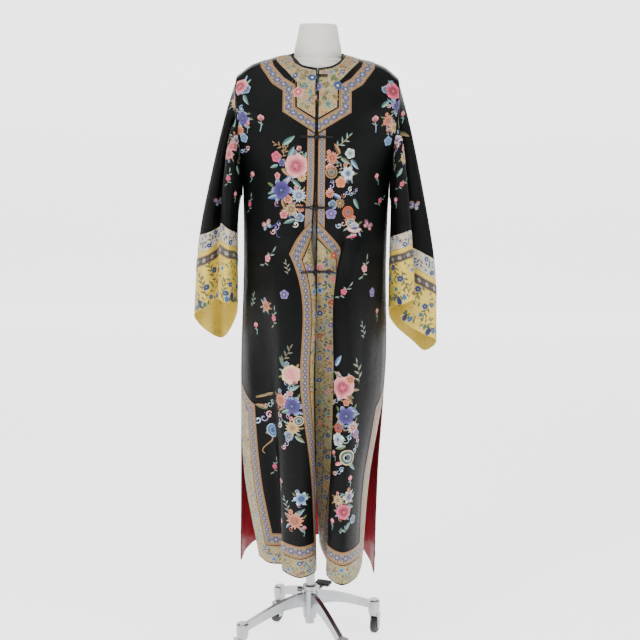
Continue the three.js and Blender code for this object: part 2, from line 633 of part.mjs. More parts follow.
const JOIN = 0.0008;           // half a seam's gap, as a share of the sleeve's length
const SLEEVE_ROWS = [0, 0.06, 0.14, 0.23, 0.34, 0.46, 0.58, SLEEVE_KNOTS[3] - JOIN, SLEEVE_KNOTS[3] + JOIN,
  aboveCuff(CUFF_TOP) - JOIN, aboveCuff(CUFF_TOP) + JOIN,
  aboveCuff(DARK_RIBBON[1]), aboveCuff(DARK_RIBBON[0]), 0.9, 1];
const SLEEVE_PIECES = {
  sleeve: { rows: [0, 7], from: 0, to: WALL, finish: 'satin' },
  sleeve_band: { rows: [8, 9], from: 0, to: WALL, finish: 'cream' },
  cuff: { rows: [10, 14], from: 0, to: WALL, finish: 'cuff' },
  cuff_ribbon: { rows: [11, 12], from: WALL + LIFT, to: WALL + LIFT + TRIM, finish: 'dark_ribbon' },
  sleeve_lining: { rows: [6, 9], from: -LIFT - 1, to: -LIFT, finish: 'lining' },
};
const SLEEVE_COLUMNS = 20;
for (const sideName of ['right', 'left']) {
  const lines = sleeveLines(sideName);
  const armhole = armholeEdge(sideName);
  const section = (v) => {
    if (v === 0) return armhole;
    return walk(lines.map((line) => smoothPoint(SLEEVE_KNOTS, line, v)), true);
  };
  const sleeve = Cloth.along(section, [...span(0, 1, SLEEVE_COLUMNS), 1], SLEEVE_ROWS, true);
  const mouth = SLEEVE_ROWS.length - 1;
  const row = sleeve.rows[mouth];
  const middle = row.reduce((sum, p) => sum.add(p), vec(0, 0, 0)).divideScalar(row.length);
  const outward = row[0].clone().sub(middle);
  if (outward.dot(sleeve.normals[mouth][0]) < 0) sleeve.normals.flat().forEach((n) => n.negate());
  for (const [piece, { rows, from, to, finish }] of Object.entries(SLEEVE_PIECES)) {
    place(`${piece}_${sideName}`, wallOf(sleeve, from, to, rows), finish);
  }
}

// ---------------------------------------------------------------- solids that are joined or cut
const wasm = await Module();
wasm.setup();

function bodyOf(geometry) {
  const plain = geometry.clone();
  plain.deleteAttribute('normal');
  plain.deleteAttribute('uv');
  const merged = mergeVertices(plain, WELD);
  return new wasm.Manifold(new wasm.Mesh({
    numProp: 3,
    vertProperties: new Float32Array(merged.attributes.position.array),
    triVerts: new Uint32Array(merged.index.array),
  }));
}

function geometryOf(body) {
  const mesh = body.getMesh();
  const geometry = new THREE.BufferGeometry();
  geometry.setAttribute('position', new THREE.Float32BufferAttribute(mesh.vertProperties, 3));
  geometry.setIndex(Array.from(mesh.triVerts));
  return geometry;
}

function made(parts, holes = []) {
  let body = bodyOf(parts[0]);
  for (const part of parts.slice(1)) body = body.add(bodyOf(part));
  for (const hole of holes) body = body.subtract(bodyOf(hole));
  return geometryOf(body);
}

// ---------------------------------------------------------------- neck binding and buttons
function cord(points, radius, sides, steps) {
  const curve = new THREE.CatmullRomCurve3(points, false, 'centripetal');
  const ring = Array.from({ length: sides }, (_, k) => {
    const angle = (2 * Math.PI * k) / sides;
    return new THREE.Vector2(radius * Math.cos(angle), radius * Math.sin(angle));
  });
  return new THREE.ExtrudeGeometry(new THREE.Shape(ring), { steps, extrudePath: curve });
}

// The binding follows the panels' own neck edges, from the right front round the back to the left front.
const NECK = { from: 2.2, height: 3.8, inside: -0.4, outside: 2.6, corner: 3 };
function neckRow(above) {
  const edgeOf = (name) => {
    const panel = panels[name];
    const edge = [];
    let i = 0;
    while (Math.abs(panel.rows[0][i].x) < NECK_HALF - NECK.corner) {
      const up = panel.rows[0][i].clone().sub(panel.rows[1][i]).normalize();
      edge.push(panel.rows[0][i].clone().addScaledVector(up, above));
      i += 1;
    }
    const [a, b] = [panel.rows[0][i - 1], panel.rows[0][i]];
    const share = (NECK_HALF - Math.abs(a.x)) / (Math.abs(b.x) - Math.abs(a.x));
    edge.push(a.clone().lerp(b, share).add(vec(0, 0, above)));
    return edge;
  };
  return [
    ...edgeOf('front_right'), ...edgeOf('back_right').reverse(),
    ...edgeOf('back_left'), ...edgeOf('front_left').reverse(),
  ];
}
const neckRows = [neckRow(NECK.from), neckRow(NECK.from + NECK.height)];
const neckShares = neckRows[0].map((_, i) => i / (neckRows[0].length - 1));
const neck = new Cloth(neckRows, neckShares, [0, 1], false);
if (neck.normals[0][0].y > 0) neck.normals.flat().forEach((n) => n.negate());
place('neck_binding', wallOf(neck, NECK.inside, NECK.outside), 'binding');

// The buttons: a cord loop on the right front and a knot with its strap on the left one.
// over: the cords' height over the panels; ahead and beyond: how far the knot and its strap stand out.
const FROG = {
  cord: 1.6, sides: 5, apart: 2.2, knot: 5, over: 6, ahead: 2.5, beyond: 6, strap: 5, clear: 1.8,
};
const FROG_POINTS = [38, 27, 17, 8];       // distances from the opening
// roll: how far the right front's edge is rolled under at that height; more: extra height there.
const FROGS = {
  upper: { z: 1416, roll: 0, more: 0 },
  middle: { z: 1240, roll: 6, more: 0 },
  lower: { z: 1077, roll: 26, more: 3.9 },
};
function overPanel(panel, distance, z, out) {
  const v = downFromTop(z);
  const p = pointAt(panel, acrossShare(panel, distance, v), v);
  return vec(p.x, p.y - out, z);
}
const knotBall = (y, z) => new THREE.SphereGeometry(FROG.knot, 7, 4).translate(0, y, z);
for (const [height, { z, roll, more }] of Object.entries(FROGS)) {
  const out = FROG.over + more;
  const right = (rise) => FROG_POINTS.map((d) => overPanel(panels.front_right, d + roll, z + rise, out));
  const left = FROG_POINTS.map((d) => overPanel(panels.front_left, d, z, out));
  const y = Math.min(right(0)[3].y, left[3].y) - FROG.ahead;
  const turn = FROG.knot + FROG.cord + FROG.clear;
  const loop = [
    ...right(FROG.apart), vec(0, y, z + turn), vec(turn, y, z), vec(0, y, z - turn),
    ...right(-FROG.apart).reverse(),
  ];
  place(`frog_loop_${height}`, cord(loop, FROG.cord, FROG.sides, 14), 'binding');
  const strap = [...left, vec(turn + FROG.beyond, y - FROG.beyond, z), vec(2, y - FROG.strap, z)];
  place(`frog_knot_${height}`, made([knotBall(y, z), cord(strap, FROG.cord, FROG.sides, 6)]), 'binding');
}

// The neck's own button lies on the embroidered yoke, just under the binding.
const NECK_KNOT = { z: 1569, out: 8.5, points: [26, 19, 12, 3] };
const neckStrap = NECK_KNOT.points.map((x) => {
  const [u, v] = locate(panels.front_left, x, NECK_KNOT.z);
  return pointAt(panels.front_left, u, v).add(vec(0, -NECK_KNOT.out, 0));
});
const neckKnot = knotBall(neckStrap[3].y - 1, NECK_KNOT.z);
place('neck_knot', made([neckKnot, cord(neckStrap, FROG.cord, FROG.sides, 4)]), 'binding');

// ---------------------------------------------------------------- the dress form
// A row for each section: height, half width, depth to the front and to the back, and how square it is.
const FORM = [
  { z: 880, half: 150, front: 80, back: 88, power: 2.2 },
  { z: 890, half: 158, front: 88, back: 96, power: 2.2 },
  { z: 950, half: 166, front: 94, back: 108, power: 2.2 },
  { z: 1030, half: 146, front: 92, back: 98, power: 2.1 },
  { z: 1120, half: 124, front: 86, back: 84, power: 2 },
  { z: 1220, half: 140, front: 102, back: 90, power: 2 },
  { z: 1320, half: 158, front: 114, back: 98, power: 2 },
  { z: 1410, half: 164, front: 102, back: 94, power: 2 },
  { z: 1480, half: 174, front: 82, back: 80, power: 1.8 },
  { z: 1530, half: 186, front: 64, back: 60, power: 1.6 },
  { z: 1562, half: 192, front: 54, back: 52, power: 1.4 },
  { z: 1579, half: 182, front: 50, back: 50, power: 1.3 },
  { z: 1592, half: 146, front: 50, back: 49, power: 1.25 },
  { z: 1603, half: 96, front: 48, back: 47, power: 1.25 },
  { z: 1613, half: 62, front: 45, back: 46, power: 1.8 },
  { z: 1640, half: 61, front: 50, back: 48, power: 2 },
  { z: 1690, half: 50, front: 48, back: 48, power: 2 },
  { z: 1699, half: 46, front: 44, back: 44, power: 2 },
];
const FORM_SIDES = 18;
function formGeometry() {
  const positions = [0, 0, FORM[0].z];
  for (const { z, half, front, back, power } of FORM) {
    for (let k = 0; k < FORM_SIDES; k += 1) {
      const angle = (2 * Math.PI * k) / FORM_SIDES;
      const [c, s] = [Math.cos(angle), Math.sin(angle)];
      const radius = (Math.abs(c) ** power + Math.abs(s) ** power) ** (-1 / power);
      positions.push(half * c * radius, (s < 0 ? front : back) * s * radius, z);
    }
  }
  positions.push(0, 0, FORM[FORM.length - 1].z);
  const faces = [];
  const last = FORM.length * FORM_SIDES + 1;
  for (let k = 0; k < FORM_SIDES; k += 1) {
    const next = (k + 1) % FORM_SIDES;
    faces.push(0, 1 + next, 1 + k);
    faces.push(last, last - FORM_SIDES + k, last - FORM_SIDES + next);
    for (let j = 0; j < FORM.length - 1; j += 1) {
      const [a, b] = [1 + j * FORM_SIDES + k, 1 + j * FORM_SIDES + next];
      faces.push(a, b, b + FORM_SIDES, a, b + FORM_SIDES, a + FORM_SIDES);
    }
  }
  const geometry = new THREE.BufferGeometry();
  geometry.setAttribute('position', new THREE.Float32BufferAttribute(positions, 3));
  geometry.setIndex(faces);
  return facingOut(geometry);
}
place('form', formGeometry(), 'linen');

// ---------------------------------------------------------------- the stand
function turned(profile, sides = FACETS) {
  const geometry = new THREE.LatheGeometry(profile.map(([r, z]) => new THREE.Vector2(r, z)), sides);
  geometry.rotateX(Math.PI / 2);
  return geometry;
}

function rod(radius, from, to, sides = 12) {
  const geometry = new THREE.CylinderGeometry(radius, radius, from.distanceTo(to), sides);
  const axis = to.clone().sub(from).normalize();
  geometry.applyQuaternion(new THREE.Quaternion().setFromUnitVectors(vec(0, 1, 0), axis));
  const middle = from.clone().add(to).multiplyScalar(0.5);
  return geometry.translate(middle.x, middle.y, middle.z);
}

function block(width, depth, height, x, y, z) {
  return new THREE.BoxGeometry(width, depth, height).translate(x, y, z);
}

const CLEAR = 0.3;             // gap between two hard parts that touch
const HUB = { bottom: 88, top: 182, radius: 18, collar: 21 };
const POLE = { bottom: 72, top: FORM[0].z - CLEAR, flange: 45, plate: 5 };
const SCREW = { z: 169, shank: 3, knob: 8, from: 22, to: 36, sides: 16 };
const PEDAL = { turn: 0.33, hinge: 34, z: 140, pin: 3, length: 92, ear: 7, clevis: 8, plate: [44, 34, 3] };
const PAD = { width: 42, depth: 32, base: 3, rib: [40, 3.4, 2.4], pitch: 6.2, ribs: [-2, -1, 0, 1, 2] };

place('pole', turned([
  [0, POLE.bottom], [POLE_RADIUS, POLE.bottom], [POLE_RADIUS, POLE.top - POLE.plate - 1],
  [POLE.flange, POLE.top - POLE.plate], [POLE.flange, POLE.top], [0, POLE.top],
]), 'metal');

const bore = POLE_RADIUS + RUNNING_GAP;
const hubRing = turned([
  [bore, HUB.bottom], [HUB.radius, HUB.bottom], [HUB.radius + 2, HUB.bottom + 30], [HUB.radius, HUB.top - 14],
  [HUB.collar, HUB.top - 11], [HUB.collar, HUB.top], [bore, HUB.top], [bore, HUB.bottom],
]);
// The pedal's bracket: two ears and a pin, turned to the back and to the left.
function towardPedal(geometry) {
  return geometry.rotateZ(-PEDAL.turn);
}
const hinge = (x) => vec(x, PEDAL.hinge, PEDAL.z);
const ears = [-PEDAL.ear, PEDAL.ear].map((x) => towardPedal(block(3, 26, 22, x, HUB.radius + 11, PEDAL.z)));
const pedalPin = towardPedal(rod(PEDAL.pin, hinge(-PEDAL.clevis), hinge(PEDAL.clevis)));
const screwPoint = (x) => vec(x, 0, SCREW.z);
const screwHole = rod(
  SCREW.shank + RUNNING_GAP, screwPoint(-HUB.collar - 5), screwPoint(-POLE_RADIUS), SCREW.sides,
);
const poleHole = rod(bore, vec(0, 0, HUB.bottom - 5), vec(0, 0, HUB.top + 5), FACETS);
place('hub', made([hubRing, ...ears, pedalPin], [screwHole, poleHole]), 'metal');

place('thumb_screw', made([
  rod(SCREW.shank, screwPoint(-SCREW.from - 2), screwPoint(-POLE_RADIUS - CLEAR), SCREW.sides),
  rod(SCREW.knob, screwPoint(-SCREW.to), screwPoint(-SCREW.from)),
]), 'metal');

const lever = block(10, PEDAL.length, 5, 0, PEDAL.hinge + PEDAL.length / 2 + 2, PEDAL.z);
const knuckle = rod(PEDAL.ear, hinge(-5), hinge(5), SCREW.sides);
const knuckleBore = rod(
  PEDAL.pin + RUNNING_GAP, hinge(-PEDAL.clevis - 1), hinge(PEDAL.clevis + 1), SCREW.sides,
);
const [, plateDepth, plateHeight] = PEDAL.plate;
const padY = PEDAL.hinge + PEDAL.length - plateDepth / 2 + 2;
const plateZ = PEDAL.z + 2 + plateHeight / 2;
const padPlate = block(...PEDAL.plate, 0, padY, plateZ);
place('pedal', towardPedal(made([lever, knuckle, padPlate], [knuckleBore])), 'metal');
const padZ = plateZ + plateHeight / 2 + CLEAR;
const padBase = block(PAD.width, PAD.depth, PAD.base, 0, padY, padZ + PAD.base / 2);
const ribs = PAD.ribs.map((k) => block(...PAD.rib, 0, padY + k * PAD.pitch, padZ + PAD.base + 0.8));
place('pedal_pad', towardPedal(made([padBase, ...ribs])), 'rubber');

// Four cast arms arch down and out to the sockets, each with a swivelling caster.
const SOCKET = { radius: 17, foot: 66, bore: 5.35, hole: 96 };
const CASTERS = [
  { name: 'a', angle: Math.PI + ARM_TURN, trail: 2.4 },
  { name: 'b', angle: ARM_TURN, trail: 1.2 },
  { name: 'c', angle: -Math.PI / 2 + ARM_TURN, trail: 0.5 },
  { name: 'd', angle: Math.PI / 2 + ARM_TURN, trail: 4.2 },
];
const FORK = { trail: 14, cheek: 3, gap: 19, stem: 5, top: 62, width: 26 };
const WHEEL = { width: 17, bore: 3.35, pin: 3 };

function armGeometry(angle) {
  const shape = new THREE.Shape();
  shape.moveTo(HUB.radius - 2, 162);
  shape.bezierCurveTo(70, 160, 130, 132, ARM_REACH - 6, SOCKET_TOP - 3);
  shape.lineTo(ARM_REACH - 6, SOCKET_TOP - 26);
  shape.bezierCurveTo(130, 106, 80, 132, HUB.radius - 2, 122);
  const arm = new THREE.ExtrudeGeometry(shape, { depth: 13, bevelEnabled: false, curveSegments: 6 });
  arm.translate(0, 0, -6.5).rotateX(Math.PI / 2);
  const { foot, radius } = SOCKET;
  const socket = turned([
    [0, foot], [radius - 2, foot], [radius, foot + 12],
    [radius, SOCKET_TOP - 4], [radius - 4, SOCKET_TOP], [0, SOCKET_TOP],
  ], 14);
  socket.translate(ARM_REACH, 0, 0);
  const hole = rod(SOCKET.bore, vec(ARM_REACH, 0, SOCKET.foot - 5), vec(ARM_REACH, 0, SOCKET.hole), 10);
  const clearHub = rod(HUB.radius + 2.4, vec(0, 0, 60), vec(0, 0, 200), FACETS);
  return made([arm, socket], [hole, clearHub]).rotateZ(angle);
}

for (const { name, angle, trail } of CASTERS) {
  place(`arm_${name}`, armGeometry(angle), 'metal');
  const hood = block(FORK.width, FORK.gap + 2 * FORK.cheek, 4, FORK.trail / 2, 0, FORK.top - 3);
  const cheeks = [-1, 1].map((side) => block(FORK.width - 8, FORK.cheek, 44, FORK.trail,
    side * (FORK.gap + FORK.cheek) / 2, FORK.top - 23));
  const stem = rod(FORK.stem, vec(0, 0, FORK.top - 3), vec(0, 0, SOCKET.hole - 0.4), 10);
  const neck = rod(11, vec(0, 0, FORK.top - 3), vec(0, 0, SOCKET.foot - 0.3), 10);
  const reach = FORK.gap / 2 + FORK.cheek / 2;
  const pin = rod(WHEEL.pin, vec(FORK.trail, -reach, WHEEL_RADIUS), vec(FORK.trail, reach, WHEEL_RADIUS), 8);
  const set = (geometry) => geometry.rotateZ(trail)
    .translate(ARM_REACH * Math.cos(angle), ARM_REACH * Math.sin(angle), 0);
  place(`fork_${name}`, set(made([hood, ...cheeks, stem, neck, pin])), 'metal');
  const tread = WHEEL_RADIUS / Math.cos(Math.PI / FACETS);
  const half = WHEEL.width / 2;
  const wheel = new THREE.LatheGeometry([
    [WHEEL.bore, -half], [tread - 3, -half], [tread, 3 - half], [tread, half - 3], [tread - 3, half],
    [WHEEL.bore, half], [WHEEL.bore, -half],
  ].map(([r, y]) => new THREE.Vector2(r, y)), FACETS);
  wheel.rotateY(Math.PI / FACETS).translate(FORK.trail, 0, WHEEL_RADIUS);
  place(`wheel_${name}`, set(wheel), 'rubber');
}

// The origin is the middle of the bounding box's foot.
group.updateMatrixWorld(true);
const box = new THREE.Box3().setFromObject(group, true);
inner.position.set(-(box.min.x + box.max.x) / 2, -(box.min.y + box.max.y) / 2, -box.min.z);

export default group;
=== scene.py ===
# %% [markdown]
# An embroidered black silk robe on a limbless dress form with a four-caster stand.
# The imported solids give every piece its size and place; each cell below dresses one kind of piece.
# Lengths are worked out in millimetres from the pole's axis and turned into metres at the end.
# %% Start
import math
import random

import bpy
import numpy as np
from mathutils import Matrix, Vector, noise


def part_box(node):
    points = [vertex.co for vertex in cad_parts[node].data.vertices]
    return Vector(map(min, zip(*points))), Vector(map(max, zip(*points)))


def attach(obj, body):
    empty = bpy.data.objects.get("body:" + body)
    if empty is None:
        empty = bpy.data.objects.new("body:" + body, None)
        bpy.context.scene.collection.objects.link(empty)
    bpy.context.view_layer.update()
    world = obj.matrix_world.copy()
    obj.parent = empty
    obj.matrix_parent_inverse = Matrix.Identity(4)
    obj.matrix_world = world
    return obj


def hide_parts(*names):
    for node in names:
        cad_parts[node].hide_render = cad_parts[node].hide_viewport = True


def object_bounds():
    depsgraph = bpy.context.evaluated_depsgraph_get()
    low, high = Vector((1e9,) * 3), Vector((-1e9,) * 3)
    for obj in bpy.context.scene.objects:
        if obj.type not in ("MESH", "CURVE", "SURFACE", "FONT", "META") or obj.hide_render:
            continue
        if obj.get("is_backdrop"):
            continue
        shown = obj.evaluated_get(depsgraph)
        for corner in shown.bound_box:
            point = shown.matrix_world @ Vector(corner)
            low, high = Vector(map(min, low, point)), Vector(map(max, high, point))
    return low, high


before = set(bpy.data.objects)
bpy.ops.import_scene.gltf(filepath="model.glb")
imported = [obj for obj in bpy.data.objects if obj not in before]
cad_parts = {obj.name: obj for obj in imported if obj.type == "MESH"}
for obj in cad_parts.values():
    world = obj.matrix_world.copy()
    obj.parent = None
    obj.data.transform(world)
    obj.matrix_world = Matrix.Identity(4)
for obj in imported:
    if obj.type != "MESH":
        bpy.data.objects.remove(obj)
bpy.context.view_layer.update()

random.seed(7)
low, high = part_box("pole")
AXIS = np.array([(low.x + high.x) / 2, (low.y + high.y) / 2, 0.0])
BODY = "column"

# %% [markdown]
# The driving sizes are those of the cut: binding, border and ribbon widths, and the heights of the
# shoulder, the underarm, the heads of the slits and the hem.
# %% Sizes
WALL, TRIM_FROM, TRIM_TO = 1.8, 1.95, 2.75
SEAM, BINDING, EMBROIDERED, LINE, RIBBON, WIDE_RIBBON, NARROW_RIBBON = 0.6, 4, 48, 2, 25, 35, 18
Z_TOP, Z_HEM, Z_UNDERARM, Z_SLIT_HEAD = 1600, 258, 1262, 757
RIBBON_EDGE = BINDING + EMBROIDERED + LINE
BORDER = {
    "embroidered": ((BINDING, BINDING + EMBROIDERED), (BINDING, BINDING + EMBROIDERED)),
    "ribbon": ((RIBBON_EDGE, RIBBON_EDGE + RIBBON), (RIBBON_EDGE, RIBBON_EDGE + WIDE_RIBBON)),
}
CHEVRON = {"apex": 1210, "ribbon": 42, "line": 4, "slope": 1.1}
HEAD = {"apex": 760, "ribbon": 34, "line": 4, "slope": 0.62}
SIDES = {"right": -1, "left": 1}
PANELS = ("front_right", "front_left", "back_right", "back_left")
print("cut widths", EMBROIDERED, RIBBON, WIDE_RIBBON)

# %% [markdown]
# A panel hangs along a few fold lines. Each line is smooth from the shoulder to the hem, and each level's
# section is smooth across the lines, so the cloth has the drape of its folds without any flat facets.
# %% Curves
CURVE_STEPS = 8


def down_from_top(z):
    return (Z_TOP - z) / (Z_TOP - Z_HEM)


def smooth(knots, values, t):
    """Smooth values at t through unevenly spaced knots; values has a row for each knot."""
    knots, values = np.asarray(knots, float), np.asarray(values, float)
    t = np.atleast_1d(np.asarray(t, float))
    gaps = np.diff(knots)
    rise = np.diff(values, axis=0) / gaps[:, None]
    slope = np.empty_like(values)
    slope[0], slope[-1] = rise[0], rise[-1]
    share = (gaps[:-1] / (knots[2:] - knots[:-2]))[:, None]
    slope[1:-1] = rise[:-1] * (1 - share) + rise[1:] * share
    k = np.clip(np.searchsorted(knots, t, side="left") - 1, 0, len(knots) - 2)
    h = gaps[k][:, None]
    s = ((t - knots[k]) / gaps[k])[:, None]
    return (values[k] * (1 + 2 * s) * (1 - s) ** 2 + slope[k] * h * s * (1 - s) ** 2
            + values[k + 1] * s * s * (3 - 2 * s) + slope[k + 1] * h * s * s * (s - 1))


def lengths(points):
    return np.concatenate([[0], np.cumsum(np.linalg.norm(np.diff(points, axis=0), axis=1))])


def along(points, shares):
    """Points at shares of a polyline's length."""
    sums = lengths(points)
    target = np.asarray(shares, float) * sums[-1]
    return np.stack([np.interp(target, sums, points[:, k]) for k in range(3)], -1)


def walk(points, closed=False):
    """A smooth curve through the points, as an evenly walked polyline."""
    points = np.asarray(points, float)
    loop = np.concatenate([points[-2:], points, points[:3]]) if closed else points
    knots = lengths(loop)
    first, last = (2, len(points) + 2) if closed else (0, len(points) - 1)
    steps = np.arange(CURVE_STEPS) / CURVE_STEPS
    t = (knots[first:last, None] + steps * np.diff(knots)[first:last, None]).ravel()
    return smooth(knots, loop, np.append(t, knots[last]))


# %% [markdown]
# The fold lines: x and y at the waist, at the slit's head and at the knee, then x, y and z at the hem.
# %% Fold lines
NECK_HALF, CENTRE_X = 69, 0.8
FRONT_LEVELS = ((1540, 206, -96, -46), (1440, 201, -122, -54), (1290, 190, -134, -14))
BACK_LEVELS = ((1540, 206, 84, 46), (1440, 201, 108, 54), (1290, 190, 116, 14))
FRONT_NECKLINE = ((CENTRE_X, -63, 1582), (34, -57, 1588), (58, -36, 1603), (NECK_HALF, -SEAM, 1622))
BACK_NECKLINE = ((CENTRE_X, 60, 1619), (34, 54, 1619), (58, 34, 1620), (NECK_HALF, SEAM, 1622))
SHOULDER = ((106, 1612), (147, 1602), (182, 1586), (203, 1568))
DROP = {"down": 9, "out": 36, "neck_down": 14, "neck_out": 12, "blend": 40, "sideways": 2, "share": 0.016}
LOW_LEVELS = (1100, 757, 500)
FOLDS = {
    "front_right": [
        ("opening", (-12, -112), (-10, -98), (-8, -56), (-4, -24, 266)),
        ("rolled crest", (-6, -134), (-1, -138), (6, -120), (12, -98, 258)),
        ("ribbon", (-48, -156), (-36, -160), (-28, -150), (-28, -128, 252)),
        ("tube edge", (-98, -143), (-84, -142), (-75, -127), (-73, -102, 262)),
        ("valley", (-132, -112), (-110, -90), (-88, -58), (-68, -46, 258)),
        ("side crest", (-170, -62), (-164, -62), (-142, -52), (-112, -32, 256)),
        ("side edge", (-187, -0.6), (-193, -1), (-184, 4), (-142, 10, 261)),
    ],
    "front_left": [
        ("opening", (3, -124), (3, -80), (12, -28), (25, 28, 294)),
        ("border", (31, -128), (31, -88), (32, -50), (34, -22, 286)),
        ("valley", (62, -126), (58, -92), (56, -70), (46, -72, 280)),
        ("tube edge", (62, -150), (57, -152), (53, -162), (51, -160, 265)),
        ("tube crest", (92, -158), (90, -177), (84, -187), (80, -186, 257)),
        ("tube side", (134, -130), (130, -143), (116, -150), (115, -146, 257)),
        ("side crest", (172, -68), (172, -70), (137, -88), (131, -94, 259)),
        ("side edge", (187, -0.6), (190, -1), (154, -22), (139, -42, 264)),
    ],
    "back_right": [
        ("centre", (-0.6, 124), (-0.6, 150), (-0.6, 170), (-0.6, 198, 258)),
        ("flank", (-46, 121), (-48, 142), (-52, 156), (-56, 180, 256)),
        ("valley", (-92, 112), (-96, 124), (-102, 136), (-108, 154, 252)),
        ("second crest", (-134, 96), (-144, 116), (-150, 150), (-154, 186, 246)),
        ("side crest", (-172, 54), (-182, 62), (-188, 98), (-184, 140, 236)),
        ("side edge", (-187, 0.6), (-192, 4), (-194, 38), (-197, 72, 224)),
    ],
    "back_left": [
        ("centre", (0.6, 124), (0.6, 150), (0.6, 170), (0.6, 198, 258)),
        ("flank", (42, 122), (42, 146), (44, 164), (46, 190, 257)),
        ("valley", (86, 114), (88, 126), (90, 140), (92, 160, 250)),
        ("second crest", (130, 98), (136, 120), (138, 152), (136, 184, 236)),
        ("side crest", (170, 54), (178, 62), (172, 98), (166, 132, 214)),
        ("side edge", (187, 0.6), (190, 4), (180, 34), (178, 58, 196)),
    ],
}
PANEL_KNOTS = (0, DROP["share"], *(down_from_top(z) for z in (1540, 1440, 1290, *LOW_LEVELS)), 1)


def fold_lines(name):
    rows = FOLDS[name]
    back, side = name.startswith("back"), SIDES[name.split("_")[1]]
    face = 1 if back else -1
    ridge = [(x, face * SEAM, z) for x, z in SHOULDER]
    top = walk([*(BACK_NECKLINE if back else FRONT_NECKLINE), *ridge])
    top[:, 1] = face * np.maximum(face * top[:, 1], SEAM)
    lines = []
    for i, row in enumerate(rows):
        share = i / (len(rows) - 1)
        turn = share * math.pi / 2
        start = along(top, share)
        on_neck = min(1, max(0, (NECK_HALF - start[0]) / DROP["blend"]))
        out = DROP["out"] * (1 - on_neck) + DROP["neck_out"] * on_neck
        down = DROP["down"] * (1 - on_neck) + DROP["neck_down"] * on_neck
        line = [start, (start[0] + DROP["sideways"] * share, start[1] + face * out, start[2] - down)]
        for z, half, centre, edge in BACK_LEVELS if back else FRONT_LEVELS:
            x = half * math.sin(turn) + CENTRE_X * (1 - share)
            line.append((x, edge + (centre - edge) * math.cos(turn) ** 2, z))
        line = [(side * x, y, z) for x, y, z in line]
        line += [(*point, z) for point, z in zip(row[1:4], LOW_LEVELS)] + [row[4]]
        lines.append(line)
    return np.array(lines, float)


# %% [markdown]
# A surface keeps rows of points at shares u across and v down, and the way out of the cloth. Borders,
# ribbons and stitches all ask it for points, so what is sewn on a panel follows its folds exactly.
# %% Cloth surfaces
class Surface:
    def __init__(self, rows, us, vs, outward, closed=False):
        self.rows, self.us, self.vs, self.closed = rows, us, vs, closed
        self.widths = np.linalg.norm(np.diff(rows, axis=1), axis=2).sum(1)
        self.length = float(np.linalg.norm(np.diff(rows[:, 0], axis=0), axis=1).sum())
        self.turn_out(outward)

    def turn_out(self, outward):
        rows = self.rows
        across = np.gradient(rows, axis=1)
        if self.closed:
            across[:, 0] = across[:, -1] = rows[:, 1] - rows[:, -2]
        normal = np.cross(across, np.gradient(rows, axis=0))
        normal /= np.linalg.norm(normal, axis=2, keepdims=True) + 1e-9
        self.normals = normal if (normal * outward).sum() > 0 else -normal

    def cell(self, u, v):
        u = np.mod(u, 1) if self.closed else np.clip(u, 0, 1)
        v = np.clip(v, 0, 1)
        i = np.clip(np.searchsorted(self.us, u, side="right") - 1, 0, len(self.us) - 2)
        j = np.clip(np.searchsorted(self.vs, v, side="right") - 1, 0, len(self.vs) - 2)
        s = ((u - self.us[i]) / (self.us[i + 1] - self.us[i]))[..., None]
        t = ((v - self.vs[j]) / (self.vs[j + 1] - self.vs[j]))[..., None]
        return i, j, s, t

    def at(self, u, v, out=0.0):
        """Points at shares u and v, moved out of the cloth by a distance."""
        u, v = np.broadcast_arrays(np.asarray(u, float), np.asarray(v, float))
        i, j, s, t = self.cell(u, v)

        def mix(grid):
            upper = grid[j, i] * (1 - s) + grid[j, i + 1] * s
            lower = grid[j + 1, i] * (1 - s) + grid[j + 1, i + 1] * s
            return upper * (1 - t) + lower * t

        normal = mix(self.normals)
        normal /= np.linalg.norm(normal, axis=-1, keepdims=True) + 1e-9
        return mix(self.rows) + normal * np.asarray(out, float)[..., None]

    def width(self, v):
        return np.interp(v, self.vs, self.widths)

    def across(self, distance, v):
        """Shares across for distances from the centre edge, or from the side edge where negative."""
        distance, v = np.broadcast_arrays(np.asarray(distance, float), np.asarray(v, float))
        share = distance / self.width(v)
        return np.where(distance >= 0, share, 1 + share)

    def from_hem(self, distance):
        return 1 - np.asarray(distance, float) / self.length


def ripple(rows, amount, stretch, seed):
    """Small soft waves for each point, as distances along the way out."""
    flat = rows.reshape(-1, 3)
    values = [noise.noise(Vector((p[0] / 34 + seed, p[1] / 34, p[2] / stretch))) for p in flat]
    return amount * np.array(values).reshape(rows.shape[:2])


def settle(surface, amount, stretch, seed, still):
    """Adds the ripples, which fade out where still(u, v) is 1."""
    outward = surface.normals.copy()
    held = still(surface.us[None, :], surface.vs[:, None])
    lift = ripple(surface.rows, amount, stretch, seed) * (1 - np.clip(held, 0, 1))
    surface.rows = surface.rows + outward * lift[..., None]
    surface.turn_out(outward)


PANEL_US = np.linspace(0, 1, 73)
PANEL_VS = np.concatenate([np.linspace(0, 0.05, 12)[:-1], np.linspace(0.05, 1, 150)])
panel = {}
for number, name in enumerate(PANELS):
    lines, back = fold_lines(name), name.startswith("back")
    face = 1 if back else -1
    levels = np.stack([smooth(PANEL_KNOTS, line, PANEL_VS) for line in lines], 1)
    rows = []
    for v, points in zip(PANEL_VS, levels):
        if v < down_from_top(Z_SLIT_HEAD):
            points[-1, 1] = face * max(face * points[-1, 1], SEAM)
        line = walk(points)
        if v == 0:
            line[:, 1] = face * np.maximum(face * line[:, 1], SEAM)
        rows.append(along(line, PANEL_US))
    surface = Surface(np.array(rows), PANEL_US, PANEL_VS, np.array((0, face, 0)))
    settle(surface, 1.1, 120, 10 * number,
           lambda u, v: np.maximum(np.exp(-v / 0.03), np.exp(-(1 - u) / 0.06)) + np.exp(-u / 0.04))
    panel[name] = surface
    print(name, "is", round(surface.length), "mm long and", round(surface.widths.max()), "mm wide at most")

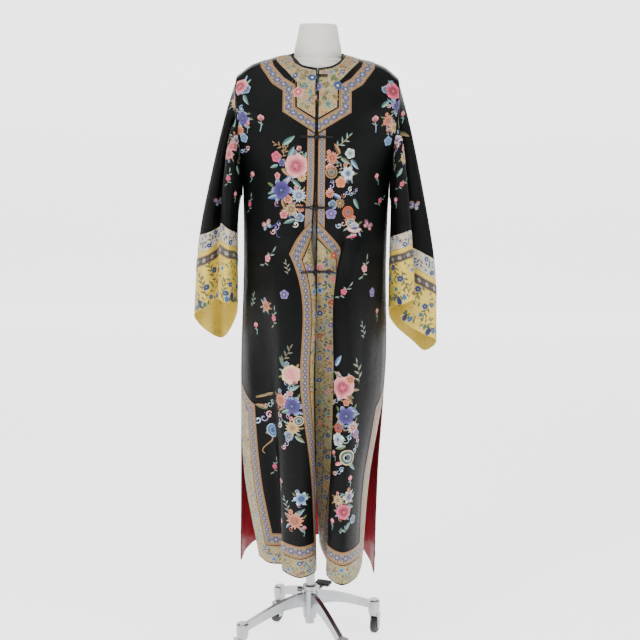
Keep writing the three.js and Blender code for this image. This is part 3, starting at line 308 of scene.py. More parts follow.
# %% [markdown]
# The sleeves are wide tubes that hang in two lobes with a crease between them. Each starts on the armhole,
# just clear of the panels' own edges, and is closed round the arm.
# %% Sleeve surfaces
SLEEVE_FOLDS = {
    "right": [
        ("outer fold", (231, -6, 1484), (274, -8, 1306), (304, -8, 1150), (318, -8, 942)),
        ("outer lobe", (221, -26, 1466), (254, -34, 1302), (278, -36, 1163), (290, -36, 962)),
        ("crease", (211, -20, 1448), (236, -18, 1300), (250, -18, 1178), (258, -18, 985)),
        ("lobe edge", (218, -54, 1430), (238, -58, 1292), (242, -60, 1189), (249, -60, 990)),
        ("lobe", (210, -68, 1385), (224, -76, 1276), (226, -78, 1178), (228, -78, 984)),
        ("lobe inside", (200, -50, 1325), (206, -54, 1248), (208, -54, 1166), (208, -54, 982)),
        ("underarm", (197, -6, 1252), (204, -8, 1200), (206, -8, 1140), (206, -8, 955)),
        ("back inside", (204, 40, 1325), (212, 36, 1230), (214, 34, 1108), (220, 40, 912)),
        ("back lobe", (216, 54, 1395), (236, 52, 1270), (246, 54, 1075), (250, 66, 864)),
        ("back crease", (219, 40, 1430), (252, 34, 1284), (268, 34, 1090), (276, 38, 878)),
        ("back outer", (228, 22, 1468), (267, 20, 1300), (296, 20, 1125), (306, 24, 905)),
    ],
    "left": [
        ("outer fold", (231, -6, 1478), (274, -8, 1298), (314, -8, 1096), (326, -8, 880)),
        ("outer lobe", (222, -22, 1464), (254, -26, 1290), (280, -26, 1118), (290, -26, 900)),
        ("crease", (208, -20, 1440), (218, -18, 1286), (226, -20, 1150), (230, -20, 942)),
        ("lobe edge", (216, -54, 1420), (238, -60, 1266), (247, -62, 1180), (262, -64, 998)),
        ("lobe", (206, -68, 1380), (216, -76, 1260), (221, -80, 1172), (230, -82, 988)),
        ("lobe inside", (198, -50, 1325), (200, -54, 1244), (200, -54, 1160), (202, -54, 977)),
        ("underarm", (197, -6, 1250), (200, -8, 1196), (200, -8, 1130), (200, -8, 950)),
        ("back inside", (204, 40, 1322), (208, 36, 1222), (214, 36, 1096), (222, 40, 908)),
        ("back lobe", (216, 54, 1392), (238, 52, 1262), (262, 52, 1070), (272, 58, 862)),
        ("back crease", (222, 42, 1430), (252, 36, 1280), (284, 36, 1064), (297, 44, 842)),
        ("back outer", (229, 22, 1464), (270, 20, 1292), (308, 20, 1080), (320, 18, 858)),
    ],
}
SLEEVE_KNOTS = (0, 0.17, 0.445, 0.69, 1)
BAND_LENGTH, CUFF_TOP, DARK_RIBBON, UNDERARM_LINE = 206, 156, (118, 143), 6
HALF_SEAM = 0.0008                          # as a share of the sleeve's length
ARMHOLE_GAP = {"shoulder": 0.6, "underarm": 2.6, "from": 1520, "to": 1430}


def above_cuff(distance):
    return 1 - distance / BAND_LENGTH * (1 - SLEEVE_KNOTS[3])


def armhole_side(side, kind):
    """The armhole's edge of one panel, from the shoulder down, clear of the panel's own wall."""
    surface = panel[f"{kind}_{side}"]
    foot = down_from_top(Z_UNDERARM)
    vs = np.append(surface.vs[surface.vs < foot], foot)
    edge = surface.at(1, vs)
    normal = surface.at(1, vs, 1.0) - edge
    fade = np.clip((ARMHOLE_GAP["from"] - edge[:, 2]) / (ARMHOLE_GAP["from"] - ARMHOLE_GAP["to"]), 0, 1)
    gap = ARMHOLE_GAP["shoulder"] + (ARMHOLE_GAP["underarm"] - ARMHOLE_GAP["shoulder"]) * fade
    edge[:, 0] += SIDES[side] * (abs(normal[:, 0]) * WALL + gap)
    edge[0, 1] = edge[-1, 1] = 0
    return edge


SLEEVE_US = np.linspace(0, 1, 121)
SLEEVE_VS = np.linspace(0, 1, 111)
sleeve = {}
for side, sign in SIDES.items():
    table, lines = SLEEVE_FOLDS[side], []
    edges = {kind: armhole_side(side, kind) for kind in ("front", "back")}
    for k, row in enumerate(table):
        front = k <= UNDERARM_LINE
        share = k / UNDERARM_LINE if front else (len(table) - k) / (len(table) - UNDERARM_LINE)
        start = along(edges["front" if front else "back"], share)
        lines.append([start, *((sign * x, y, z) for x, y, z in row[1:])])
    lines = np.array(lines, float)
    levels = np.stack([smooth(SLEEVE_KNOTS, line, SLEEVE_VS) for line in lines], 1)
    ring = np.concatenate([edges["front"], edges["back"][::-1][1:]])
    rows = [along(ring, SLEEVE_US)] + [along(walk(points, True), SLEEVE_US) for points in levels[1:]]
    rows = np.array(rows)
    centre = rows.mean(1, keepdims=True)
    surface = Surface(rows, SLEEVE_US, SLEEVE_VS, rows - centre, True)
    settle(surface, 1.0, 90, 40 + sign, lambda u, v: np.exp(-v / 0.05) + np.exp(-np.minimum(u, 1 - u) / 0.02))
    sleeve[side] = surface
    print("sleeve", side, "girth at the cuff", round(surface.widths[-1]), "mm, length", round(surface.length))

# %% [markdown]
# Every piece is made by the same few builders: a closed thin wall between two grids of points, a tube along
# a line, and a turned solid. Each wall gets its own coordinates along and across the cloth for its weave.
# %% Builders
def to_frame(points):
    return np.asarray(points, float) / 1000 + AXIS


def mesh_piece(name, points, faces, slot, materials, uvs=None, picks=None, dye=None, auto=None):
    """Makes a mesh piece in the row frame; uvs are per point, picks a material index per face."""
    mesh = bpy.data.meshes.new(name)
    mesh.from_pydata(to_frame(points).tolist(), [], [list(map(int, f)) for f in faces])
    loops = np.empty(len(mesh.loops), int)
    mesh.loops.foreach_get("vertex_index", loops)
    if uvs is not None:
        layer = mesh.uv_layers.new(name="cloth")
        layer.data.foreach_set("uv", (np.asarray(uvs, float)[loops] / 1000).ravel())
    if dye is not None:
        layer = mesh.attributes.new("dye", "FLOAT_COLOR", "POINT")
        layer.data.foreach_set("color", np.asarray(dye, float).ravel())
    for material in materials:
        mesh.materials.append(material)
    if picks is not None:
        mesh.polygons.foreach_set("material_index", np.asarray(picks, int))
    mesh.polygons.foreach_set("use_smooth", np.ones(len(mesh.polygons), bool))
    mesh.update()
    if auto is not None:
        mesh.set_sharp_from_angle(angle=math.radians(auto))
    piece = bpy.data.objects.new(name, mesh)
    bpy.context.scene.collection.objects.link(piece)
    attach(piece, BODY)
    return piece


def dress(piece, node):
    """The piece stands for this node of the frame."""
    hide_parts(node)
    dressed[node] = piece


def grid_faces(nv, nu, start=0):
    j, i = np.meshgrid(np.arange(nv - 1), np.arange(nu - 1), indexing="ij")
    a = j * nu + i
    return np.stack([a, a + 1, a + 1 + nu, a + nu], -1).reshape(-1, 4) + start


def ring_faces(rings, around):
    """Faces of a stack of closed rings with capped ends."""
    faces, last = [], (rings - 1) * around
    for start in range(0, last, around):
        for k in range(around):
            a, b = start + k, start + (k + 1) % around
            faces.append((a, b, b + around, a + around))
    return faces + [tuple(range(around))[::-1], tuple(range(last, last + around))]


def wall(name, outer, inner, slot, materials, uvs):
    """A closed thin wall between two grids of points: outside, inside and rim, in that material order."""
    nv, nu = outer.shape[:2]
    count = nv * nu
    front = grid_faces(nv, nu)
    back = grid_faces(nv, nu, count)[:, ::-1]
    rims = []
    for j, order in ((0, 1), (nv - 1, -1)):
        a = j * nu + np.arange(nu - 1)
        rims.append(np.stack([a + 1, a, a + count, a + 1 + count], -1)[:, ::order])
    for i, order in ((0, 1), (nu - 1, -1)):
        a = np.arange(nv - 1) * nu + i
        rims.append(np.stack([a, a + nu, a + nu + count, a + count], -1)[:, ::order])
    rims = np.concatenate(rims)
    faces = np.concatenate([front, back, rims])
    sample = front[len(front) // 2]
    points = np.concatenate([outer.reshape(-1, 3), inner.reshape(-1, 3)])
    corner = points[sample]
    way = np.cross(corner[1] - corner[0], corner[3] - corner[0])
    if way @ (points[sample[0]] - points[sample[0] + count]) < 0:
        faces = faces[:, ::-1]
    picks = np.zeros(len(faces), int)
    if len(materials) > 1:
        picks[len(front):len(front) + len(back)] = 1
    if len(materials) > 2:
        picks[len(front) + len(back):] = 2
    uv = np.concatenate([uvs.reshape(-1, 2)] * 2)
    return mesh_piece(name, points, faces, slot, materials, uv, picks, auto=50)


def ring_frame(points):
    """Two directions square to a line at each of its points, carried along without twist."""
    tangent = np.gradient(points, axis=0)
    tangent /= np.linalg.norm(tangent, axis=1, keepdims=True) + 1e-9
    side = np.cross(tangent[0], (0.31, 0.2, 0.93))
    sides = []
    for t in tangent:
        side = side - t * (side @ t)
        side /= np.linalg.norm(side) + 1e-9
        sides.append(side)
    sides = np.array(sides)
    return sides, np.cross(tangent, sides)


def tube_mesh(points, radius, around=8):
    """Points and faces of a round cord with closed ends."""
    points = np.asarray(points, float)
    sides, ups = ring_frame(points)
    radius = np.broadcast_to(radius, len(points))
    angle = np.arange(around) * 2 * math.pi / around
    ring = (sides[:, None] * np.cos(angle)[None, :, None] + ups[:, None] * np.sin(angle)[None, :, None])
    body = points[:, None] + ring * radius[:, None, None]
    return body.reshape(-1, 3), ring_faces(len(points), around)


def lathe_mesh(profile, around):
    """Points and faces of a turned solid; profile is (radius, height) from one end of the axis to the other."""
    angle = np.arange(around) * 2 * math.pi / around
    points = [(r * math.cos(a), r * math.sin(a), z) for r, z in profile for a in angle]
    return np.array(points, float), ring_faces(len(profile), around)


def join(parts):
    """Several (points, faces) as one."""
    points, faces, start = [], [], 0
    for p, f in parts:
        points.append(np.asarray(p, float))
        faces += [tuple(i + start for i in face) for face in f]
        start += len(p)
    return np.concatenate(points), faces


# %% [markdown]
# All finishes are worked out from formulas. A small helper chains the arithmetic of a pattern, so that a
# woven ribbon reads as one line for each of its figures.
# %% Finish helpers
class Finish:
    def __init__(self, name, roughness, **sockets):
        self.material = bpy.data.materials.new(name)
        self.material.use_nodes = True
        self.tree = self.material.node_tree
        self.shader = self.tree.nodes["Principled BSDF"]
        self.shader.inputs["Roughness"].default_value = roughness
        for socket, value in sockets.items():
            self.shader.inputs[socket.replace("_", " ")].default_value = value

    def node(self, kind, **settings):
        made = self.tree.nodes.new(kind)
        for key, value in settings.items():
            setattr(made, key, value)
        return made

    def link(self, source, target):
        if isinstance(source, bpy.types.NodeSocket):
            self.tree.links.new(source, target)
        else:
            target.default_value = source

    def math(self, operation, *values):
        made = self.node("ShaderNodeMath", operation=operation)
        for value, socket in zip(values, made.inputs):
            self.link(value, socket)
        return made.outputs[0]

    def plus(self, a, b):
        return self.math("ADD", a, b)

    def minus(self, a, b):
        return self.math("SUBTRACT", a, b)

    def times(self, a, b):
        return self.math("MULTIPLY", a, b)

    def hypot(self, a, b):
        return self.math("SQRT", self.plus(self.times(a, a), self.times(b, b)))

    def repeat(self, value, period):
        """Distance from the middle of each period."""
        return self.minus(self.math("FLOORED_MODULO", value, period), period / 2)

    def within(self, value, low, high, soft):
        """1 where low < value < high, with soft edges."""
        up = self.node("ShaderNodeMapRange", interpolation_type="SMOOTHSTEP")
        down = self.node("ShaderNodeMapRange", interpolation_type="SMOOTHSTEP")
        for made, a, b in ((up, low - soft, low + soft), (down, high + soft, high - soft)):
            self.link(value, made.inputs["Value"])
            made.inputs["From Min"].default_value, made.inputs["From Max"].default_value = a, b
        return self.times(up.outputs[0], down.outputs[0])

    def mix(self, factor, a, b):
        made = self.node("ShaderNodeMix", data_type="RGBA")
        for value, socket in ((factor, made.inputs[0]), (a, made.inputs[6]), (b, made.inputs[7])):
            if isinstance(value, tuple):
                value = (*value, 1)
            self.link(value, socket)
        return made.outputs[2]

    def along_across(self):
        """Millimetres along and across the cloth."""
        place = self.node("ShaderNodeUVMap", uv_map="cloth")
        split = self.node("ShaderNodeSeparateXYZ")
        self.link(place.outputs[0], split.inputs[0])
        return tuple(self.times(split.outputs[k], 1000.0) for k in (0, 1))

    def noise(self, scale, detail=3.0):
        made = self.node("ShaderNodeTexNoise")
        made.inputs["Scale"].default_value, made.inputs["Detail"].default_value = scale, detail
        self.link(self.node("ShaderNodeTexCoord").outputs["Object"], made.inputs["Vector"])
        return made.outputs["Fac"]

    def colour(self, value):
        self.link((*value, 1) if isinstance(value, tuple) else value, self.shader.inputs["Base Color"])
        return self

    def bump(self, height, distance):
        made = self.node("ShaderNodeBump")
        made.inputs["Distance"].default_value, made.inputs["Strength"].default_value = distance, 1.0
        self.link(height, made.inputs["Height"])
        self.link(made.outputs[0], self.shader.inputs["Normal"])
        return self


def weave(finish, pitch, lean=0.0):
    """A fine woven relief from the cloth's own coordinates."""
    x, y = finish.along_across()
    warp = finish.math("SINE", finish.times(finish.plus(x, finish.times(y, lean)), 2 * math.pi / pitch))
    weft = finish.math("SINE", finish.times(y, 2 * math.pi / pitch))
    return finish.times(warp, weft)


# %% [markdown]
# The silks: a black satin with a long soft shine, a cream and a yellow ground for the embroidery, a wine
# lining, and black cord. The satin's shine comes from its anisotropic threads and a low specular level.
# %% Plain finishes
satin = Finish("satin", 0.4, Anisotropic=0.5, Specular_IOR_Level=0.085)
tone = satin.noise(6.0, 4.0)
satin.colour(satin.mix(tone, (0.0012, 0.0016, 0.0015), (0.0028, 0.0034, 0.0032)))
satin.bump(satin.plus(satin.noise(38.0, 5.0), satin.times(weave(satin, 0.7, 0.5), 0.05)), 0.0012)
binding = Finish("binding", 0.5, Specular_IOR_Level=0.25).colour((0.0035, 0.0038, 0.004))
lining = Finish("lining", 0.45, Anisotropic=0.3, Specular_IOR_Level=0.08)
lining.colour(lining.mix(lining.noise(9.0), (0.15, 0.005, 0.012), (0.23, 0.010, 0.018)))
lining.bump(lining.noise(30.0, 4.0), 0.0012)


def scroll_ground(name, ground, lines, roughness=0.55, thick=0.11, blobs=0.3, scale=62.0):
    """A silk ground closely worked with small scrolls and dots, in three colours of line."""
    made = Finish(name, roughness)
    x, y = made.along_across()
    place = made.node("ShaderNodeCombineXYZ")
    made.link(made.math("DIVIDE", x, 1000.0), place.inputs[0])
    made.link(made.math("DIVIDE", y, 1000.0), place.inputs[1])
    field = made.node("ShaderNodeTexNoise")
    for socket, value in (("Scale", scale), ("Detail", 0.6), ("Distortion", 1.6)):
        field.inputs[socket].default_value = value
    made.link(place.outputs[0], field.inputs["Vector"])
    share = made.math("FRACT", made.times(field.outputs["Fac"], 9.0))
    line = made.within(share, 0.5 - thick, 0.5 + thick, 0.05)
    dots = made.node("ShaderNodeTexVoronoi")
    dots.inputs["Scale"].default_value = 1.35 * scale
    made.link(place.outputs[0], dots.inputs["Vector"])
    pick = made.node("ShaderNodeSeparateXYZ")
    made.link(dots.outputs["Color"], pick.inputs[0])
    dot = made.times(made.within(dots.outputs["Distance"], -1, blobs, 0.05),
                     made.math("GREATER_THAN", pick.outputs[2], 0.35))
    which = made.noise(24.0, 1.0)
    colour = made.mix(made.noise(14.0, 5.0), *ground)
    thread_colour = made.mix(made.math("GREATER_THAN", which, 0.5), lines[0], lines[1])
    thread_colour = made.mix(made.math("GREATER_THAN", which, 0.6), thread_colour, lines[2])
    colour = made.mix(line, colour, thread_colour)
    blob_colour = made.mix(made.math("GREATER_THAN", pick.outputs[0], 0.4), lines[1], lines[2])
    blob_colour = made.mix(made.math("GREATER_THAN", pick.outputs[0], 0.75), blob_colour, lines[0])
    colour = made.mix(dot, colour, blob_colour)
    made.colour(colour)
    made.bump(made.plus(weave(made, 0.8), made.times(made.plus(line, dot), 4.0)), 0.00006)
    return made


cream = scroll_ground("cream", ((0.30, 0.24, 0.09), (0.42, 0.34, 0.15)),
                      ((0.06, 0.055, 0.014), (0.02, 0.06, 0.17), (0.26, 0.045, 0.012)), thick=0.15)
band_silk = scroll_ground("band_silk", ((0.50, 0.44, 0.28), (0.60, 0.54, 0.36)),
                          ((0.05, 0.12, 0.30), (0.03, 0.08, 0.24), (0.42, 0.14, 0.09)), thick=0.09)
yellow = scroll_ground("cuff_silk", ((0.56, 0.38, 0.035), (0.70, 0.51, 0.07)),
                       ((0.17, 0.13, 0.03), (0.07, 0.13, 0.05), (0.28, 0.12, 0.02)), 0.5, 0.035, 0.1, 40.0)
linen = Finish("linen", 0.85, Sheen_Weight=0.1)
grain = linen.plus(linen.noise(420.0, 2.0), linen.times(weave(linen, 0.9), 0.5))
linen.colour(linen.mix(linen.noise(25.0, 5.0), (0.62, 0.60, 0.54), (0.72, 0.70, 0.64))).bump(grain, 0.0002)
metal = Finish("cast_metal", 0.32, Metallic=1.0)
metal.colour(metal.mix(metal.noise(30.0, 4.0), (0.26, 0.27, 0.28), (0.40, 0.41, 0.42)))
metal.bump(metal.noise(160.0, 3.0), 0.0004)
rubber = Finish("rubber", 0.7).colour((0.02, 0.02, 0.021))
print("plain finishes made")

# %% [markdown]
# The woven ribbons: a gold ground with a dotted edge on each side and a row of flower medallions with small
# leaves between them. The yoke, hem and opening ribbons share it at their own widths.
# %% Ribbon finishes
BEAD_PITCH = 3.0


def ribbon_finish(name, width, period, ground, edge, dot, petals, heart, leaf):
    made = Finish(name, 0.6, Sheen_Weight=0.1)
    x, y = made.along_across()
    middle = made.minus(y, width / 2)
    cell = made.repeat(x, period)
    radius = made.hypot(cell, middle)
    angle = made.math("ARCTAN2", middle, cell)
    wave = made.times(made.math("COSINE", made.times(angle, 6.0)), 0.06 * width)
    flower = made.minus(radius, wave)
    from_middle = made.math("ABSOLUTE", middle)
    between = made.repeat(made.plus(x, period / 2), period)
    lozenge = made.plus(made.times(made.math("ABSOLUTE", between), 1.5), from_middle)
    colour = made.mix(made.noise(60.0, 3.0), ground[0], ground[1])
    colour = made.mix(made.within(lozenge, -1, 0.2 * width, 0.4), colour, leaf)
    colour = made.mix(made.within(lozenge, -1, 0.09 * width, 0.3), colour, ground[1])
    colour = made.mix(made.within(flower, -width, 0.25 * width, 0.5), colour, petals[0])
    colour = made.mix(made.within(flower, -width, 0.15 * width, 0.4), colour, petals[1])
    colour = made.mix(made.within(radius, -1, 0.06 * width, 0.3), colour, heart)
    bead = made.repeat(x, BEAD_PITCH)
    colour = made.mix(made.within(from_middle, 0.36 * width, 0.40 * width, 0.15), colour, edge)
    colour = made.mix(made.within(from_middle, 0.465 * width, 0.52 * width, 0.15), colour, edge)
    height = made.minus(from_middle, 0.43 * width)
    colour = made.mix(made.within(made.hypot(bead, height), -1, 0.85, 0.2), colour, dot)
    made.colour(colour)
    raised = made.times(made.within(flower, -width, 0.25 * width, 0.6), 1.5)
    made.bump(made.plus(weave(made, 0.9), raised), 0.00012)
    return made


GOLD = ((0.17, 0.115, 0.04), (0.30, 0.21, 0.085))
EDGE, BEAD, HEART, LEAF = (0.13, 0.035, 0.012), (0.30, 0.10, 0.03), (0.50, 0.40, 0.28), (0.05, 0.10, 0.11)
MEDALLION = ((0.016, 0.015, 0.08), (0.10, 0.11, 0.25))
wide_ribbon, side_ribbon, narrow_ribbon = (
    ribbon_finish(name, width, period, GOLD, EDGE, BEAD, MEDALLION, HEART, LEAF)
    for name, width, period in (("wide_ribbon", WIDE_RIBBON, 22), ("side_ribbon", RIBBON, 16),
                                ("narrow_ribbon", NARROW_RIBBON, 12))
)
DARK = ((0.022, 0.016, 0.010), (0.05, 0.036, 0.022))
dark_ribbon = ribbon_finish("dark_ribbon", DARK_RIBBON[1] - DARK_RIBBON[0], 24, DARK, (0.12, 0.07, 0.03),
                            (0.30, 0.22, 0.11), ((0.15, 0.13, 0.11), (0.34, 0.32, 0.28)), (0.28, 0.09, 0.05),
                            (0.09, 0.08, 0.06))
print("ribbon finishes made")

# %% [markdown]
# The four panels: fronts and backs cut in one length from the shoulder to the hem. Outside is satin, inside
# the wine lining, and the rim the black bound edge.
# %% Panels
def uv_of(surface, u, v):
    """Millimetres across and down for shares of a surface."""
    u, v = np.broadcast_arrays(u, v)
    return np.stack([u * surface.width(v), v * surface.length], -1)


TRIM_WIDTH = {"embroidered": EMBROIDERED, "ribbon": WIDE_RIBBON, "yoke_embroidered": 62, "yoke_ribbon": WIDE_RIBBON,
              "narrow_ribbon": NARROW_RIBBON, "lining": 120}
dressed = {}
for name in PANELS:
    surface = panel[name]
    u, v = np.meshgrid(surface.us, surface.vs)
    outer, inner = surface.at(u, v, WALL), surface.at(u, v, 0.3)
    piece = wall(name, outer, inner, "satin", [satin.material, lining.material, binding.material],
                 uv_of(surface, u, v))
    dress(piece, name)
print("panels", list(dressed))

# %% [markdown]
# Borders and ribbons are strips of grids over a panel: down the opening, along the hem and up the slit,
# mitred at the corners, with a pointed head at the chest and at the top of the slit.
# %% Borders
def border_strips(surface, kind, has_opening):
    """Strips of one border as (u, v) grids with their own coordinates: rows go along, columns across."""
    (d0, d1), (r0, r1) = BORDER[kind]
    ribbon = kind == "ribbon"
    c = np.linspace(0, 1, 13)
    d, rise = d0 + c * (d1 - d0), r0 + c * (r1 - r0)
    foot = surface.from_hem(rise)
    strips = []

    def column(sign, top):
        k = np.linspace(0, 1, 90)[:, None]
        v = top + (foot - top) * k
        u = surface.across(sign * d, v)
        strips.append((u, v, np.stack([v * surface.length, np.broadcast_to(d - d0, v.shape)], -1)))

    def head(facts):
        depth = facts["ribbon"] * (1 - c) if ribbon else facts["ribbon"] + facts["line"]
        return lambda distance: down_from_top(facts["apex"] - depth - facts["slope"] * distance)

    def bar(sign, facts):
        level = head(facts)
        k = np.linspace(0, 1, 12)[:, None]
        distance = BINDING + k * (d - BINDING)
        v = level(distance)
        lean = math.hypot(1, facts["slope"])
        strips.append((surface.across(sign * distance, v), v,
                       np.stack([distance * lean, np.broadcast_to(d - d0, v.shape)], -1)))

    if has_opening:
        column(1, head(CHEVRON)(d))
    start = surface.across(d, foot) if has_opening else np.zeros_like(d)
    end = surface.across(-d, foot)
    k = np.linspace(0, 1, 40)[:, None]
    u = start + (end - start) * k
    share = (d1 - d0) / (r1 - r0)
    strips.append((u, np.broadcast_to(foot, u.shape),
                   np.stack([u * surface.width(1.0), np.broadcast_to(rise - r0, u.shape)], -1) * share))
    column(-1, head(HEAD)(d))
    if ribbon:
        if has_opening:
            bar(1, CHEVRON)
        bar(-1, HEAD)
    return strips


def strip_piece(node, surface, strips, slot, finish):
    """Several strips as one piece that stands for a node."""
    walls = [wall(f"{node}_{number}", surface.at(u, v, TRIM_TO), surface.at(u, v, TRIM_FROM), slot,
                  [finish.material], uvs) for number, (u, v, uvs) in enumerate(strips)]
    piece = walls[0]
    if len(walls) > 1:
        with bpy.context.temp_override(active_object=piece, object=piece, selected_objects=walls,
                                       selected_editable_objects=walls):
            bpy.ops.object.join()
    piece.name = node
    dress(piece, node)


strips_of = {}
for name in PANELS:
    surface = panel[name]
    for kind, slot, finish in (("embroidered", "cream", cream), ("ribbon", "ribbon", side_ribbon)):
        strips = border_strips(surface, kind, name.startswith("front"))
        strips_of[kind, name] = strips
        strip_piece(f"{kind}_{name}", surface, strips, slot, finish)
print("borders", len(strips_of))

# %% [markdown]
# The yoke round the neck is the same pair of bands with a stepped outline, found on the panel from the
# outline's x and z; the narrow ribbons run down beside the buttons to the chevron.
# %% Yoke and narrow ribbons
YOKE = {
    "front": {
        "embroidered": ((73, 1620, 106, 1612), (70, 1613, 103, 1601), (58, 1596, 77, 1577),
                        (38, 1586, 51, 1550), (4, 1579, 50, 1490), (5, 1520, 4, 1464)),
        "ribbon": ((118, 1609, 147, 1603), (110, 1589, 144, 1586), (82, 1560, 114, 1546),
                   (55, 1544, 86, 1529), (54, 1489, 86, 1477), (4, 1459, 4, 1427)),
    },
    "back": {
        "embroidered": ((73, 1620, 106, 1612), (62, 1612, 100, 1580), (36, 1607, 58, 1554), (3, 1606, 3, 1546)),
        "ribbon": ((118, 1609, 147, 1603), (106, 1574, 134, 1556), (62, 1547, 76, 1516), (3, 1540, 3, 1506)),
    },
}


def locate(surface, x, z, lowest=0.3):
    """The shares of the panel's point with this x and z."""
    count = int((surface.vs < lowest).sum())
    rows = surface.rows[:count]
    side = math.copysign(1, surface.rows[0, -1, 0])
    gap = np.hypot(rows[..., 0] - side * x, rows[..., 2] - z)
    j, i = np.unravel_index(gap.argmin(), gap.shape)
    best, reach = np.array((surface.us[i], surface.vs[j])), np.array((0.03, 0.01))
    for _ in range(12):
        k = np.linspace(-1, 1, 7)
        u, v = np.meshgrid(np.clip(best[0] + reach[0] * k, 0, 1), np.clip(best[1] + reach[1] * k, 0, 1))
        points = surface.at(u, v)
        gap = np.hypot(points[..., 0] - side * x, points[..., 2] - z)
        j, i = np.unravel_index(gap.argmin(), gap.shape)
        best, reach = np.array((u[j, i], v[j, i])), reach * 0.6
    return best


def band_between(surface, rows, across=9, steps=4, parts=4):
    """Strips between two edges; each straight stretch is found in parts, so that it stays straight."""
    rows = np.array(rows, float)
    shares = np.arange((len(rows) - 1) * parts + 1) / parts
    rows = np.stack([np.interp(shares, np.arange(len(rows)), column) for column in rows.T], -1)
    near = np.array([locate(surface, x, z) for x, z, _, _ in rows])
    far = np.array([locate(surface, x, z) for _, _, x, z in rows])
    c = np.linspace(0, 1, across)[None, :, None]
    middle = [surface.at(*((a + b) / 2)) for a, b in zip(near, far)]
    width = np.mean([np.linalg.norm(surface.at(*a) - surface.at(*b)) for a, b in zip(near[:-1], far[:-1])])
    strips, start = [], 0.0
    for k in range(len(rows) - 1):
        t = np.linspace(0, 1, steps)[:, None, None]
        edge_a = near[k] + (near[k + 1] - near[k]) * t
        edge_b = far[k] + (far[k + 1] - far[k]) * t
        uv = edge_a + (edge_b - edge_a) * c
        length = float(np.linalg.norm(middle[k + 1] - middle[k]))
        own = np.stack(np.broadcast_arrays(start + t[..., 0] * length, c[..., 0] * width), -1)
        strips.append((uv[..., 0], uv[..., 1], own))
        start += length
    return strips


for name in PANELS:
    surface = panel[name]
    for kind, rows in YOKE[name.split("_")[0]].items():
        strips = band_between(surface, rows)
        strips_of[f"yoke_{kind}", name] = strips
        slot, finish = ("cream", cream) if kind == "embroidered" else ("ribbon", wide_ribbon)
        strip_piece(f"yoke_{kind}_{name}", surface, strips, slot, finish)

NARROW_TOP, NARROW_RISE, NARROW_CLEAR = 1424, 0.6, 2
for name in PANELS[:2]:
    surface = panel[name]
    d = np.linspace(BINDING, BINDING + NARROW_RIBBON, 9)
    top = down_from_top(NARROW_TOP + NARROW_RISE * (d - BINDING))
    foot = down_from_top(CHEVRON["apex"] + NARROW_CLEAR - CHEVRON["slope"] * d)
    v = top + (foot - top) * np.linspace(0, 1, 40)[:, None]
    grid = (surface.across(d, v), v, np.stack([v * surface.length, np.broadcast_to(d - BINDING, v.shape)], -1))
    strip_piece(f"narrow_ribbon_{name}", surface, [grid], "ribbon", narrow_ribbon)
print("yoke and narrow ribbons done")

# %% [markdown]
# The sleeves: satin to the elbow, an embroidered cream band, and a wide yellow cuff with a dark ribbon.
# %% Sleeves
SLEEVE_PIECES = {
    "sleeve": ((0, SLEEVE_KNOTS[3] - HALF_SEAM), (0.2, WALL), "satin", (satin, lining, binding)),
    "sleeve_band": ((SLEEVE_KNOTS[3] + HALF_SEAM, above_cuff(CUFF_TOP) - HALF_SEAM), (0.2, WALL), "cream",
                    (band_silk, lining)),
    "cuff": ((above_cuff(CUFF_TOP) + HALF_SEAM, 1), (0.2, WALL), "cuff", (yellow, yellow)),
    "cuff_ribbon": ((above_cuff(DARK_RIBBON[1]), above_cuff(DARK_RIBBON[0])), (TRIM_FROM, TRIM_TO), "dark_ribbon",
                    (dark_ribbon,)),
    "sleeve_lining": ((0.58, above_cuff(CUFF_TOP) - HALF_SEAM), (-1.1, -0.5), "lining", (lining,)),
}
SLEEVE_LENGTH = {side: float(np.linalg.norm(np.diff(surface.rows.mean(1), axis=0), axis=1).sum())
                 for side, surface in sleeve.items()}
for side, surface in sleeve.items():
    for kind, ((top, foot), (start, end), slot, finishes) in SLEEVE_PIECES.items():
        steps = max(6, round(110 * (foot - top)))
        v, u = np.linspace(top, foot, steps)[:, None], SLEEVE_US[None, :]
        u, v = np.broadcast_arrays(u, v)
        own = np.stack([u * surface.width(v), (v - top) / (1 - SLEEVE_KNOTS[3]) * BAND_LENGTH], -1)
        outer, inner = surface.at(u, v, end), surface.at(u, v, start)
        outer[:, -1], inner[:, -1] = outer[:, 0], inner[:, 0]
        piece = wall(f"{kind}_{side}", outer, inner, slot, [f.material for f in finishes], own)
        dress(piece, f"{kind}_{side}")
print("sleeves done")

# %% [markdown]
# The back's lining shows at the slits, so it is a sheet of its own just inside the back panels.
# %% Back lining
LINING_TOP, LINING_FROM, LINING_TO = 740, 0.6, 0.999
for name in PANELS[2:]:
    surface = panel[name]
    v, u = np.meshgrid(np.linspace(down_from_top(LINING_TOP), 1, 90), np.linspace(LINING_FROM, LINING_TO, 24),
                       indexing="ij")
    piece = wall(f"lining_{name}", surface.at(u, v, -1.2), surface.at(u, v, -0.5), "lining", [lining.material],
                 uv_of(surface, u, v))
    dress(piece, f"lining_{name}")

# %% [markdown]
# The neck is bound with a black bias strip, and the fronts close with cord loops and knotted buttons.
# The right front carries the loops and the left one the knots.
# %% Neck binding and buttons
def neck_edge(name, above, out):
    surface = panel[name]
    edge, below = surface.at(surface.us, 0, out), surface.at(surface.us, surface.vs[3], out)
    up = edge - below
    up /= np.linalg.norm(up, axis=1, keepdims=True)
    keep = abs(edge[:, 0]) < NECK_HALF
    return (edge + up * above)[keep]


def neck_line(above, out):
    parts = [neck_edge("front_right", above, out), neck_edge("back_right", above, out)[::-1],
             neck_edge("back_left", above, out), neck_edge("front_left", above, out)[::-1]]
    line = np.concatenate(parts)
    return along(line, np.linspace(0, 1, 120))


def black_cord(node, parts):
    dress(mesh_piece(node, *join(parts), "binding", [binding.material]), node)


